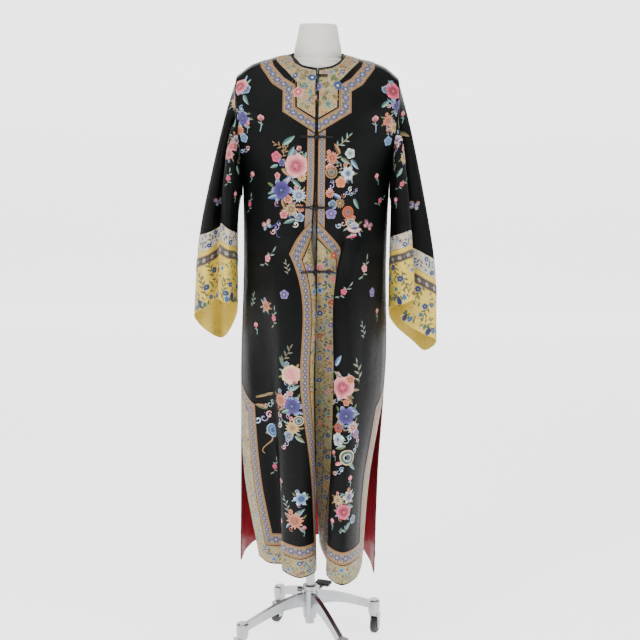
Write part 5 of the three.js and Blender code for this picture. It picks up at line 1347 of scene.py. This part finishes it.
# %% [markdown]
# Where the large figures lie: millimetres from the opening (or shares round a sleeve), the nominal height,
# the figure, its size and its turn in degrees, and its dyes where they aren't the figure's own.
# %% Garden of figures
FIGURES = {**{made.__name__: made for made in (peony, aster, blossom, star, bud, spray, twig, scrolls, rings, bowl,
                                               butterfly, tendril)},
           "leaf": lambda size, dark="teal", light="mint": leaf(-size / 2, 0, 0, size, size * 0.42, dark, light),
           "blade": lambda size, dark="olive", light="tan": leaf(-size / 2, 0, 0, size, size * 0.16, dark, light)}
GARDEN = {
    "front_right": (
        (144, 1455, "bud", 40, 0, "crimson", "blush", "ice"), (93, 1390, "twig", 40, 60), (69, 1407, "leaf", 38, 35),
        (104, 1365, "blossom", 30, 0, "rose", "pink"), (89, 1351, "star", 20, 0), (50, 1343, "peony", 58, 0),
        (47, 1298, "leaf", 30, -40), (89, 1281, "star", 61, 0), (41, 1270, "aster", 38, 0, "blue", "white", "ice"),
        (58, 1234, "aster", 35, 0, "brown", "cream", "tan"), (35, 1237, "aster", 23, 0),
        (95, 1186, "scrolls", 33, 20, "violet", "indigo", "blush"), (190, 1312, "bud", 31, -20),
        (196, 1239, "spray", 36, 20, "rose", "pink"), (125, 1189, "butterfly", 36, 20), (147, 1108, "spray", 48, -10),
        (99, 1088, "twig", 35, 10, "brown", "mint"), (240, 993, "twig", 39, -15, "teal", "mint"),
        (189, 985, "aster", 33, 0), (158, 957, "spray", 41, 30, "rose", "pink"), (230, 923, "bud", 31, 10, "rose"),
        (122, 1021, "blossom", 25, 0, "indigo", "lilac", "white"), (116, 867, "twig", 51, -30, "teal", "olive"),
        (102, 814, "peony", 49, 0, "cream", "blush", "pink"), (95, 778, "leaf", 33, 30), (104, 730, "star", 54, 0),
        (136, 742, "aster", 41, 0), (211, 742, "blade", 68, 20), (236, 677, "scrolls", 48, 0, "violet"),
        (218, 644, "rings", 37, 0, "blue", "ice"), (111, 672, "aster", 41, 0, "tan", "cream"),
        (136, 627, "scrolls", 31, 30, "violet", "lilac", "blush"), (245, 607, "tendril", 59, 10),
        (173, 512, "bud", 34, 0, "crimson"), (241, 540, "spray", 38, 20, "rose", "pink"), (135, 417, "aster", 50, 0),
        (114, 479, "star", 39, 0, "blue", "ice", "white"), (158, 457, "twig", 42, 20, "teal", "mint"),
        (185, 398, "bud", 32, -10), (202, 1538, "peony", 43, 0), (184, 1511, "leaf", 30, -60),
        (196, 1460, "star", 41, 0), (199, 1410, "blossom", 26, 0, "blue", "ice", "white"),
        (83, 1376, "twig", 38, -30, "olive"), (63, 1379, "leaf", 30, 60), (77, 1326, "leaf", 30, -40, "olive", "tan"),
        (63, 1312, "scrolls", 25, 0, "indigo", "ice", "blush"), (112, 1340, "leaf", 25, 200),
        (114, 1262, "leaf", 33, 190, "blue", "ice"), (69, 1259, "blossom", 23, 0, "rust", "peach"),
        (79, 1245, "leaf", 30, -70, "brown", "tan"), (35, 1315, "aster", 25, 0, "tan", "cream", "rust"),
        (44, 1209, "scrolls", 33, 60, "indigo", "ice", "white"), (61, 1203, "leaf", 30, 200),
        (76, 1220, "blossom", 23, 0, "rose"), (35, 1214, "blossom", 25, 0, "indigo", "ice"),
        (97, 1178, "tendril", 38, 60, "violet"), (40, 1382, "bud", 30, 30, "crimson"),
        (127, 845, "leaf", 31, 120, "teal", "olive"), (94, 789, "bud", 31, -20, "crimson"),
        (110, 798, "leaf", 31, 160, "brown", "tan"), (111, 767, "scrolls", 31, 30, "blue", "ice", "blush"),
        (93, 747, "leaf", 28, -30, "blue", "ice"), (123, 714, "leaf", 31, 200),
        (145, 689, "scrolls", 34, 60, "indigo", "blush", "white"), (124, 649, "blossom", 26, 0, "navy", "ice"),
        (96, 641, "leaf", 31, -40, "olive"), (92, 691, "rings", 26, 0),
        (208, 717, "scrolls", 37, 0, "teal", "ice", "rust"), (235, 708, "leaf", 37, 170, "olive", "tan"),
        (119, 443, "leaf", 31, 30), (151, 426, "leaf", 32, 150, "brown", "tan"), (112, 392, "bud", 29, 0, "rose"),
        (185, 1533, "blossom", 28, 0, "indigo", "ice"), (209, 1483, "scrolls", 28, 0, "indigo", "ice", "blush"),
        (185, 1441, "bud", 31, 0, "rose"), (209, 1429, "aster", 28, 0), (202, 1379, "scrolls", 31, 0, "violet"),
    ),
    "front_left": (
        (150, 1457, "bud", 40, 0, "crimson", "blush", "ice"), (66, 1407, "twig", 50, -50, "teal", "mint", "tan"),
        (86, 1376, "blossom", 28, 20, "mint", "white", "tan"), (39, 1365, "aster", 33, 0, "rust", "peach", "orange"),
        (38, 1329, "rings", 30, 0, "brown", "tan", "teal"), (82, 1326, "star", 40, 0, "ice", "white", "blue"),
        (38, 1295, "scrolls", 30, 40, "violet", "indigo", "blush"), (63, 1304, "blossom", 30, 0, "orange", "peach"),
        (101, 1278, "scrolls", 23, 0, "indigo", "lilac"), (83, 1228, "rings", 30, 0, "rust", "orange", "teal"),
        (90, 1200, "rings", 23, 0), (98, 1189, "bowl", 41, 0, "blush", "white", "indigo"),
        (38, 1225, "blossom", 30, 0, "violet", "lilac", "white"), (178, 1312, "bud", 31, 15),
        (191, 1253, "spray", 34, -20, "rose", "pink"), (138, 1192, "butterfly", 33, -20, "violet", "rust", "blush"),
        (161, 1088, "spray", 48, 15), (120, 1032, "spray", 40, -10, "rose", "pink"),
        (193, 929, "twig", 43, 10, "teal", "mint"), (254, 965, "bud", 34, 0, "crimson"),
        (214, 1024, "blossom", 26, 0, "indigo", "lilac", "white"), (144, 784, "peony", 59, 0),
        (183, 823, "twig", 61, 10, "olive", "mint"), (125, 854, "leaf", 36, 60, "blue", "ice"),
        (165, 711, "star", 54, 0), (189, 680, "aster", 36, 0, "rose", "white", "blush"),
        (154, 647, "blossom", 39, 0, "ice", "white", "blue"), (212, 630, "scrolls", 36, 30),
        (189, 602, "rings", 39, 0), (170, 585, "leaf", 28, 20, "pink", "blush"), (136, 683, "tendril", 52, -10),
        (209, 540, "bud", 31, 0), (212, 496, "star", 36, 0, "blue", "cream"),
        (203, 457, "peony", 39, 0, "pink", "rose"), (215, 415, "leaf", 42, 40), (174, 420, "bud", 31, 0),
        (182, 487, "aster", 31, 0, "tan", "cream"), (197, 1533, "peony", 43, 0, "pink", "rose"),
        (177, 1508, "leaf", 30, 40), (216, 1494, "star", 38, 0), (188, 1460, "aster", 33, 0),
        (196, 1407, "blossom", 26, 0, "blue", "ice", "white"), (51, 1388, "leaf", 30, 120, "brown", "tan"),
        (75, 1357, "leaf", 30, -30, "olive"), (54, 1346, "twig", 38, 60, "brown", "mint"),
        (101, 1348, "leaf", 33, -50, "teal", "ice"), (51, 1270, "leaf", 28, 150, "blue", "ice"),
        (81, 1278, "scrolls", 30, 10, "blue", "white", "rust"), (61, 1251, "aster", 28, 0, "brown", "tan", "cream"),
        (42, 1248, "blossom", 25, 0, "navy", "ice"), (108, 1248, "leaf", 31, -60),
        (70, 1200, "scrolls", 33, 0, "rust", "orange"), (93, 1167, "leaf", 28, 200, "rose", "blush"),
        (95, 1175, "tendril", 33, 30, "teal"), (34, 1340, "blossom", 23, 0, "rose"), (35, 1276, "aster", 25, 0),
        (71, 1323, "leaf", 25, 80), (124, 817, "leaf", 31, 160), (167, 753, "leaf", 31, -60, "brown", "tan"),
        (161, 806, "blossom", 26, 0, "rust", "peach"), (127, 747, "scrolls", 33, 0, "navy", "ice", "blush"),
        (184, 725, "leaf", 31, -30, "blue", "ice"), (149, 677, "rings", 26, 0, "rust", "orange"),
        (174, 647, "scrolls", 36, 0, "teal", "ice", "rust"), (165, 627, "leaf", 31, 200, "olive"),
        (204, 661, "blossom", 26, 0, "violet", "lilac"), (148, 605, "bud", 28, 20, "rose"),
        (208, 577, "leaf", 31, -50), (171, 563, "scrolls", 31, 0, "indigo", "ice", "blush"),
        (221, 470, "leaf", 29, -20), (188, 457, "leaf", 31, 180, "olive", "tan"),
        (240, 431, "blossom", 26, 0, "navy", "ice"), (177, 1536, "blossom", 25, 0, "indigo", "ice"),
        (220, 1519, "leaf", 28, 20), (195, 1505, "scrolls", 25, 0, "indigo", "ice", "blush"),
        (209, 1441, "aster", 31, 0, "tan", "cream", "rust"), (192, 1429, "bud", 28, 0, "crimson"),
    ),
    "sleeve_right": (
        (0.108, 0.056, "aster", 33, 0, "tan", "cream"), (0.163, 0.127, "leaf", 33, 40),
        (0.242, 0.083, "bowl", 33, 10, "blush", "white", "indigo"),
        (0.225, 0.281, "aster", 31, 0, "rose", "blush", "crimson"), (0.321, 0.104, "twig", 39, -20, "teal", "mint"),
        (0.275, 0.383, "spray", 33, 20, "rose", "pink"), (0.367, 0.431, "bud", 28, -10),
        (0.129, 0.558, "butterfly", 31, 10, "blue", "rust"), (0.025, 0.081, "leaf", 28, 160),
        (0.196, 0.196, "leaf", 31, 200, "olive", "tan"), (0.233, 0.198, "blossom", 26, 0, "rose"),
        (0.342, 0.225, "leaf", 28, -60),
    ),
    "sleeve_left": (
        (0.163, 0.075, "leaf", 31, -30), (0.229, 0.079, "bowl", 33, -10, "blush", "white", "violet"),
        (0.208, 0.279, "aster", 31, 0, "tan", "cream"), (0.3, 0.185, "twig", 38, 20, "teal", "mint"),
        (0.287, 0.373, "spray", 33, -20, "rose", "pink"), (0.367, 0.45, "bud", 28, 10),
        (0.087, 0.521, "butterfly", 31, -10, "violet", "tan"), (0.046, 0.156, "bud", 31, 0, "rose"),
        (0.05, 0.235, "leaf", 31, -20, "olive", "tan"), (0.25, 0.133, "scrolls", 31, 0, "violet"),
        (0.179, 0.248, "blossom", 26, 0, "rose"), (0.271, 0.312, "leaf", 28, 60),
    ),
}
# The backs carry the fronts' figures, measured from the centre back seam.
BACK_SHIFT, BACK_REACH = -14, 190
for side in SIDES:
    fronts = GARDEN[f"front_{side}"]
    GARDEN[f"back_{side}"] = tuple((across + (BACK_SHIFT if height < 1200 else 0), height, *rest)
                                   for across, height, *rest in fronts if across < BACK_REACH)
for name, rows in GARDEN.items():
    surface = panel[name] if name in panel else sleeve[name.split("_")[1]]
    work = Stitches()
    for number, (across, height, figure, size, degrees, *colours) in enumerate(rows):
        if name in panel:
            v = float(down_from_top(height))
            u = float(surface.across(across, v))
        else:
            u, v = across, height
        place = ground(surface, u, v, WALL + 0.3 + 0.05 * (number % 5), turn=math.radians(degrees))
        if figure in ("peony", "aster", "star", "bowl") and size > 30:
            work.add(ground(surface, u, v, WALL + 0.25, turn=math.radians(degrees)), company(size))
        work.add(place, FIGURES[figure](size, *colours))
    piece = work.build(f"embroidery_{name}", "satin")
    print(piece.name, "has", len(rows), "figures and", len(piece.data.polygons), "faces")

# %% [markdown]
# The cream bands carry a running vine: a wavy stem with scrolls, leaves and a flower in each bend. The cuffs
# have larger flowers, bamboo and rocks, more loosely set.
# %% Running vines
def vine_cell(length, width, hand, flower, ground_dyes):
    line, dark, light = ground_dyes
    amplitude = 0.2 * width
    x = np.linspace(-length / 2, length / 2, 9)
    made = [stem(np.stack([x, hand * amplitude * np.sin(math.pi * x / length)], -1), 0.9, line)]
    made += [curl(-0.22 * length, hand * 0.27 * width, 1.2 * hand, 0.30 * width, line, 0.9, 1.25, hand),
             curl(0.30 * length, -hand * 0.05 * width, 4.2 * hand, 0.24 * width, light, 0.9, 1.1, -hand),
             curl(0.05 * length, hand * 0.40 * width, 0.4, 0.17 * width, dark, 0.8, 1.0, hand)]
    for at, turn, reach in ((-0.4, 1.9, 0.26), (0.12, -0.5, 0.22), (0.38, 1.2, 0.22), (-0.08, 2.7, 0.2)):
        y = hand * amplitude * math.sin(math.pi * at)
        made.append(petal(at * length, y, hand * turn, reach * width, 0.1 * width, dark, light, 0.9, 0.3, 0.1,
                          rows=4, columns=3))
    size = 0.3 * width
    root, tip, heart = flower
    spot = (0.0, -hand * 0.27 * width)
    for k in range(5):
        made.append(petal(*spot, 1.2566 * k + 0.3, size * 0.52, size * 0.5, root, tip, 1.6, 0.5, 0.2,
                          rows=4, columns=3))
    return made + [disc(*spot, size * 0.12, heart, lift=0.8)]


FLOWERS = (("navy", "blue", "ice"), ("rust", "orange", "lemon"), ("blue", "ice", "navy"), ("teal", "mint", "rust"),
           ("navy", "blue", "white"), ("rose", "blush", "lemon"), ("indigo", "lilac", "white"))
VINES = (("tan", "olive", "green"), ("brown", "teal", "mint"), ("dull", "olive", "tan"), ("tan", "navy", "blue"))


def rocks(size):
    """A pile of garden rocks: mounds edged in paler stitches, with small leaves between."""
    made = []
    for x, y, reach, colour, edge in ((-0.3, 0.0, 0.42, "blue", "ice"), (0.02, 0.06, 0.56, "navy", "blue"),
                                      (0.32, -0.02, 0.40, "teal", "mint"), (0.14, -0.1, 0.3, "green", "olive")):
        made.append(petal(x * size, (y - 0.3) * size, math.pi / 2, reach * size, 0.5 * reach * size, colour, colour,
                          1.3, 0.4, 0.1))
        a = np.linspace(0.1 * math.pi, 0.9 * math.pi, 8)
        arc = np.stack([x * size + 0.24 * reach * size * np.cos(a),
                        (y - 0.3 + 0.55 * reach) * size + 0.4 * reach * size * np.sin(a)], -1)
        made.append(stem(arc, 0.035 * size, edge, 0.6))
    for x, turn in ((-0.45, 2.0), (-0.12, 1.8), (0.2, 1.2), (0.46, 1.0)):
        made += leaf(x * size, -0.24 * size, turn, 0.34 * size, 0.12 * size, "green", "olive", 0.4)
    return made


def run_vine(work, surface, strip, out, cell):
    """Repeats the vine along a strip, each time as wide as the strip is there."""
    u, v, own = strip
    middle = u.shape[1] // 2
    spans = np.linalg.norm(surface.at(u[:, 0], v[:, 0]) - surface.at(u[:, -1], v[:, -1]), axis=1)
    t = own[:, middle, 0]
    total = abs(t[-1] - t[0])
    count = max(1, round(total / cell))
    length = total / count
    shares = np.linspace(0, 1, len(t))
    for k in range(count):
        f = (k + 0.5) / count
        spot = [float(np.interp(f, shares, grid[:, middle])) for grid in (u, v)]
        ahead = [float(np.interp(min(1, f + 0.02), shares, grid[:, middle])) for grid in (u, v)]
        behind = [float(np.interp(max(0, f - 0.02), shares, grid[:, middle])) for grid in (u, v)]
        heading = surface.at(*ahead) - surface.at(*behind)
        place = ground(surface, *spot, out, heading)
        width = 0.93 * float(np.interp(f, shares, spans))
        work.add(place, vine_cell(length, width, 1 if k % 2 else -1, random.choice(FLOWERS), random.choice(VINES)))


for name in PANELS:
    surface = panel[name]
    for kind, cell in (("embroidered", 30), ("yoke_embroidered", 22)):
        work, strips = Stitches(), strips_of[kind, name]
        if kind == "yoke_embroidered":
            strips = [tuple(np.concatenate(grids) for grids in zip(*strips))]
        for strip in strips:
            run_vine(work, surface, strip, TRIM_TO + 0.1, cell)
        piece = work.build(f"vine_{kind}_{name}", "cream")
        print(piece.name, "has", len(piece.data.polygons), "faces")

SLEEVE_WORK = {
    "sleeve_band": {"cell": 32, "rows": ((0.5, 44),),
                    "flowers": (("navy", "blue", "white"), ("blue", "ice", "navy"), ("rust", "blush", "navy"),
                                ("navy", "blue", "ice")),
                    "vines": (("blue", "navy", "blue"), ("tan", "blue", "ice"), ("rust", "navy", "blue"))},
    "cuff": {"cell": 46, "rows": ((0.17, 44), (0.46, 50), (0.72, 44)),
             "flowers": (("navy", "blue", "lemon"), ("blue", "ice", "navy"), ("brown", "rust", "tan"),
                         ("teal", "mint", "navy"), ("navy", "blue", "ice")),
             "vines": (("brown", "olive", "green"), ("olive", "teal", "green"), ("navy", "olive", "teal"))},
}
for side, surface in sleeve.items():
    for kind, (top, foot), slot in (
        ("sleeve_band", (SLEEVE_KNOTS[3], above_cuff(CUFF_TOP)), "cream"),
        ("cuff", (above_cuff(DARK_RIBBON[0]), 1), "cuff"),
    ):
        work, facts = Stitches(), SLEEVE_WORK[kind]
        girth = float(surface.width((top + foot) / 2))
        count = round(girth / facts["cell"])

        def spot(u, share):
            v = top + (foot - top) * share
            heading = surface.at((u + 0.004) % 1, v) - surface.at((u - 0.004) % 1, v)
            return ground(surface, u, v, WALL + 0.2, heading)

        for row, (share, size) in enumerate(facts["rows"]):
            for k in range(count):
                u = (k + 0.5 * (row % 2) + 0.25) / count % 1
                if (k + row) % 4 == 1 and kind == "cuff":
                    work.add(spot(u, share), twig(1.1 * size, "green", "olive", "brown", 6))
                    work.add(spot(u, share), moved(blossom(18, "navy", "blue"), 10, -8, 0.5))
                else:
                    flower, vines = random.choice(facts["flowers"]), random.choice(facts["vines"])
                    work.add(spot(u, share), vine_cell(girth / count, size, 1 if k % 2 else -1, flower, vines))
        if kind == "cuff":
            for k in range(round(girth / 74)):
                work.add(spot((k + 0.4) / round(girth / 74) % 1, 0.88), moved(rocks(46), 0, 0, 0.6))
        piece = work.build(f"vine_{kind}_{side}", slot)
        print(piece.name, "has", len(piece.data.polygons), "faces")

# %% [markdown]
# A pale floor that curves up into a wall far behind, soft light from the front and above, and the camera a
# little above chest height.
# %% Stage, light and camera
CAMERA = {"x": 15.7, "y": -3290.7, "z": 1507.9, "pitch": 0.1743, "roll": 0.0153, "lens": 70.3125}
sweep = [(-8.0, 0.0), (5.4, 0.0)] + [(5.4 + 1.6 * math.sin(a), 1.6 - 1.6 * math.cos(a))
                                     for a in np.linspace(0.1, math.pi / 2, 14)] + [(7.0, 7.0)]
points = [(x, y, z) for x in (-9.0, 9.0) for y, z in sweep]
count = len(sweep)
mesh = bpy.data.meshes.new("sweep")
mesh.from_pydata(points, [], [(k, k + 1, k + 1 + count, k + count) for k in range(count - 1)])
mesh.polygons.foreach_set("use_smooth", np.ones(len(mesh.polygons), bool))
backdrop = bpy.data.objects.new("sweep", mesh)
bpy.context.scene.collection.objects.link(backdrop)
paper = Finish("paper", 0.9, Emission_Color=(1, 1, 1, 1), Emission_Strength=1.9).colour((0.92, 0.92, 0.92))
mesh.materials.append(paper.material)
backdrop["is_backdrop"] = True

world = bpy.data.worlds.new("studio")
world.use_nodes = True
world.node_tree.nodes["Background"].inputs["Color"].default_value = (1, 1, 1, 1)
world.node_tree.nodes["Background"].inputs["Strength"].default_value = 0.4
bpy.context.scene.world = world
LIGHTS = (
    ("key", (-2.2, -2.6, 3.0), 1.6, 105),
    ("fill", (2.6, -2.2, 2.0), 1.6, 50),
    ("top", (0.0, -0.6, 3.6), 2.0, 45),
)
for name, place, size, power in LIGHTS:
    lamp = bpy.data.lights.new(name, "AREA")
    lamp.shape, lamp.size, lamp.energy = "DISK", size, power
    light = bpy.data.objects.new(name, lamp)
    light.location = place
    light.rotation_euler = (Vector((0, 0, 0.9)) - Vector(place)).to_track_quat("-Z", "Y").to_euler()
    bpy.context.scene.collection.objects.link(light)

lens = bpy.data.cameras.new("camera")
lens.lens, lens.sensor_width = CAMERA["lens"], 36.0
camera = bpy.data.objects.new("camera", lens)
turn = Matrix.Rotation(math.pi / 2 - CAMERA["pitch"], 4, "X") @ Matrix.Rotation(CAMERA["roll"], 4, "Z")
spot = to_frame((CAMERA["x"], CAMERA["y"], CAMERA["z"]))
camera.matrix_world = Matrix.Translation(Vector(spot)) @ turn
bpy.context.scene.collection.objects.link(camera)
bpy.context.scene.camera = camera

# %% [markdown]
# The cloth pieces state the flat size they are cut to; then the sizes are written down and the scene ends.
# %% Cut sizes and finish
def cut(node, width, length, area=None):
    """States the flat cut in metres, from millimetres; area is in square metres."""
    flat = (width / 1000, length / 1000)
    full = flat[0] * flat[1]
    if area is not None and area > full:
        flat, area = (area / flat[1], flat[1]), None
    print(f"{node}: {flat[0]:.3f} by {flat[1]:.3f} m" + ("" if area is None else f", {area:.4f} m2"))


def face_area(node):
    """Half the piece's surface in square metres, which is its cloth's area as both sides are alike."""
    polygons = dressed[node].data.polygons
    values = np.empty(len(polygons))
    polygons.foreach_get("area", values)
    return float(values.sum()) / 2


for name in PANELS:
    cut(name, panel[name].widths.max(), panel[name].length, face_area(name))
for side in SIDES:
    long = SLEEVE_LENGTH[side]
    for kind, ((top, foot), *_) in SLEEVE_PIECES.items():
        under = ["sleeve" if kind == "sleeve_lining" else "cuff"] if kind in ("sleeve_lining", "cuff_ribbon") else []
        under = [f"{piece}_{side}" for piece in under] or ["form"]
        width = float(sleeve[side].width(np.linspace(top, foot, 30)).max())
        area = face_area(f"{kind}_{side}")
        cut(f"{kind}_{side}", width, max(long * (foot - top), area / width * 1e6 * 1.01), area)
for node, piece in dressed.items():
    if not node.startswith(("yoke", "embroidered", "ribbon", "narrow", "lining")):
        continue
    host = next(name for name in PANELS if node.endswith(name))
    area, wide = face_area(node), TRIM_WIDTH[node.split(f"_{host}")[0]]
    cut(node, wide, area / wide * 1e6 * 1.02, area)
low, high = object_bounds()
print("shown box", [round(v, 3) for v in (*low, *high)])
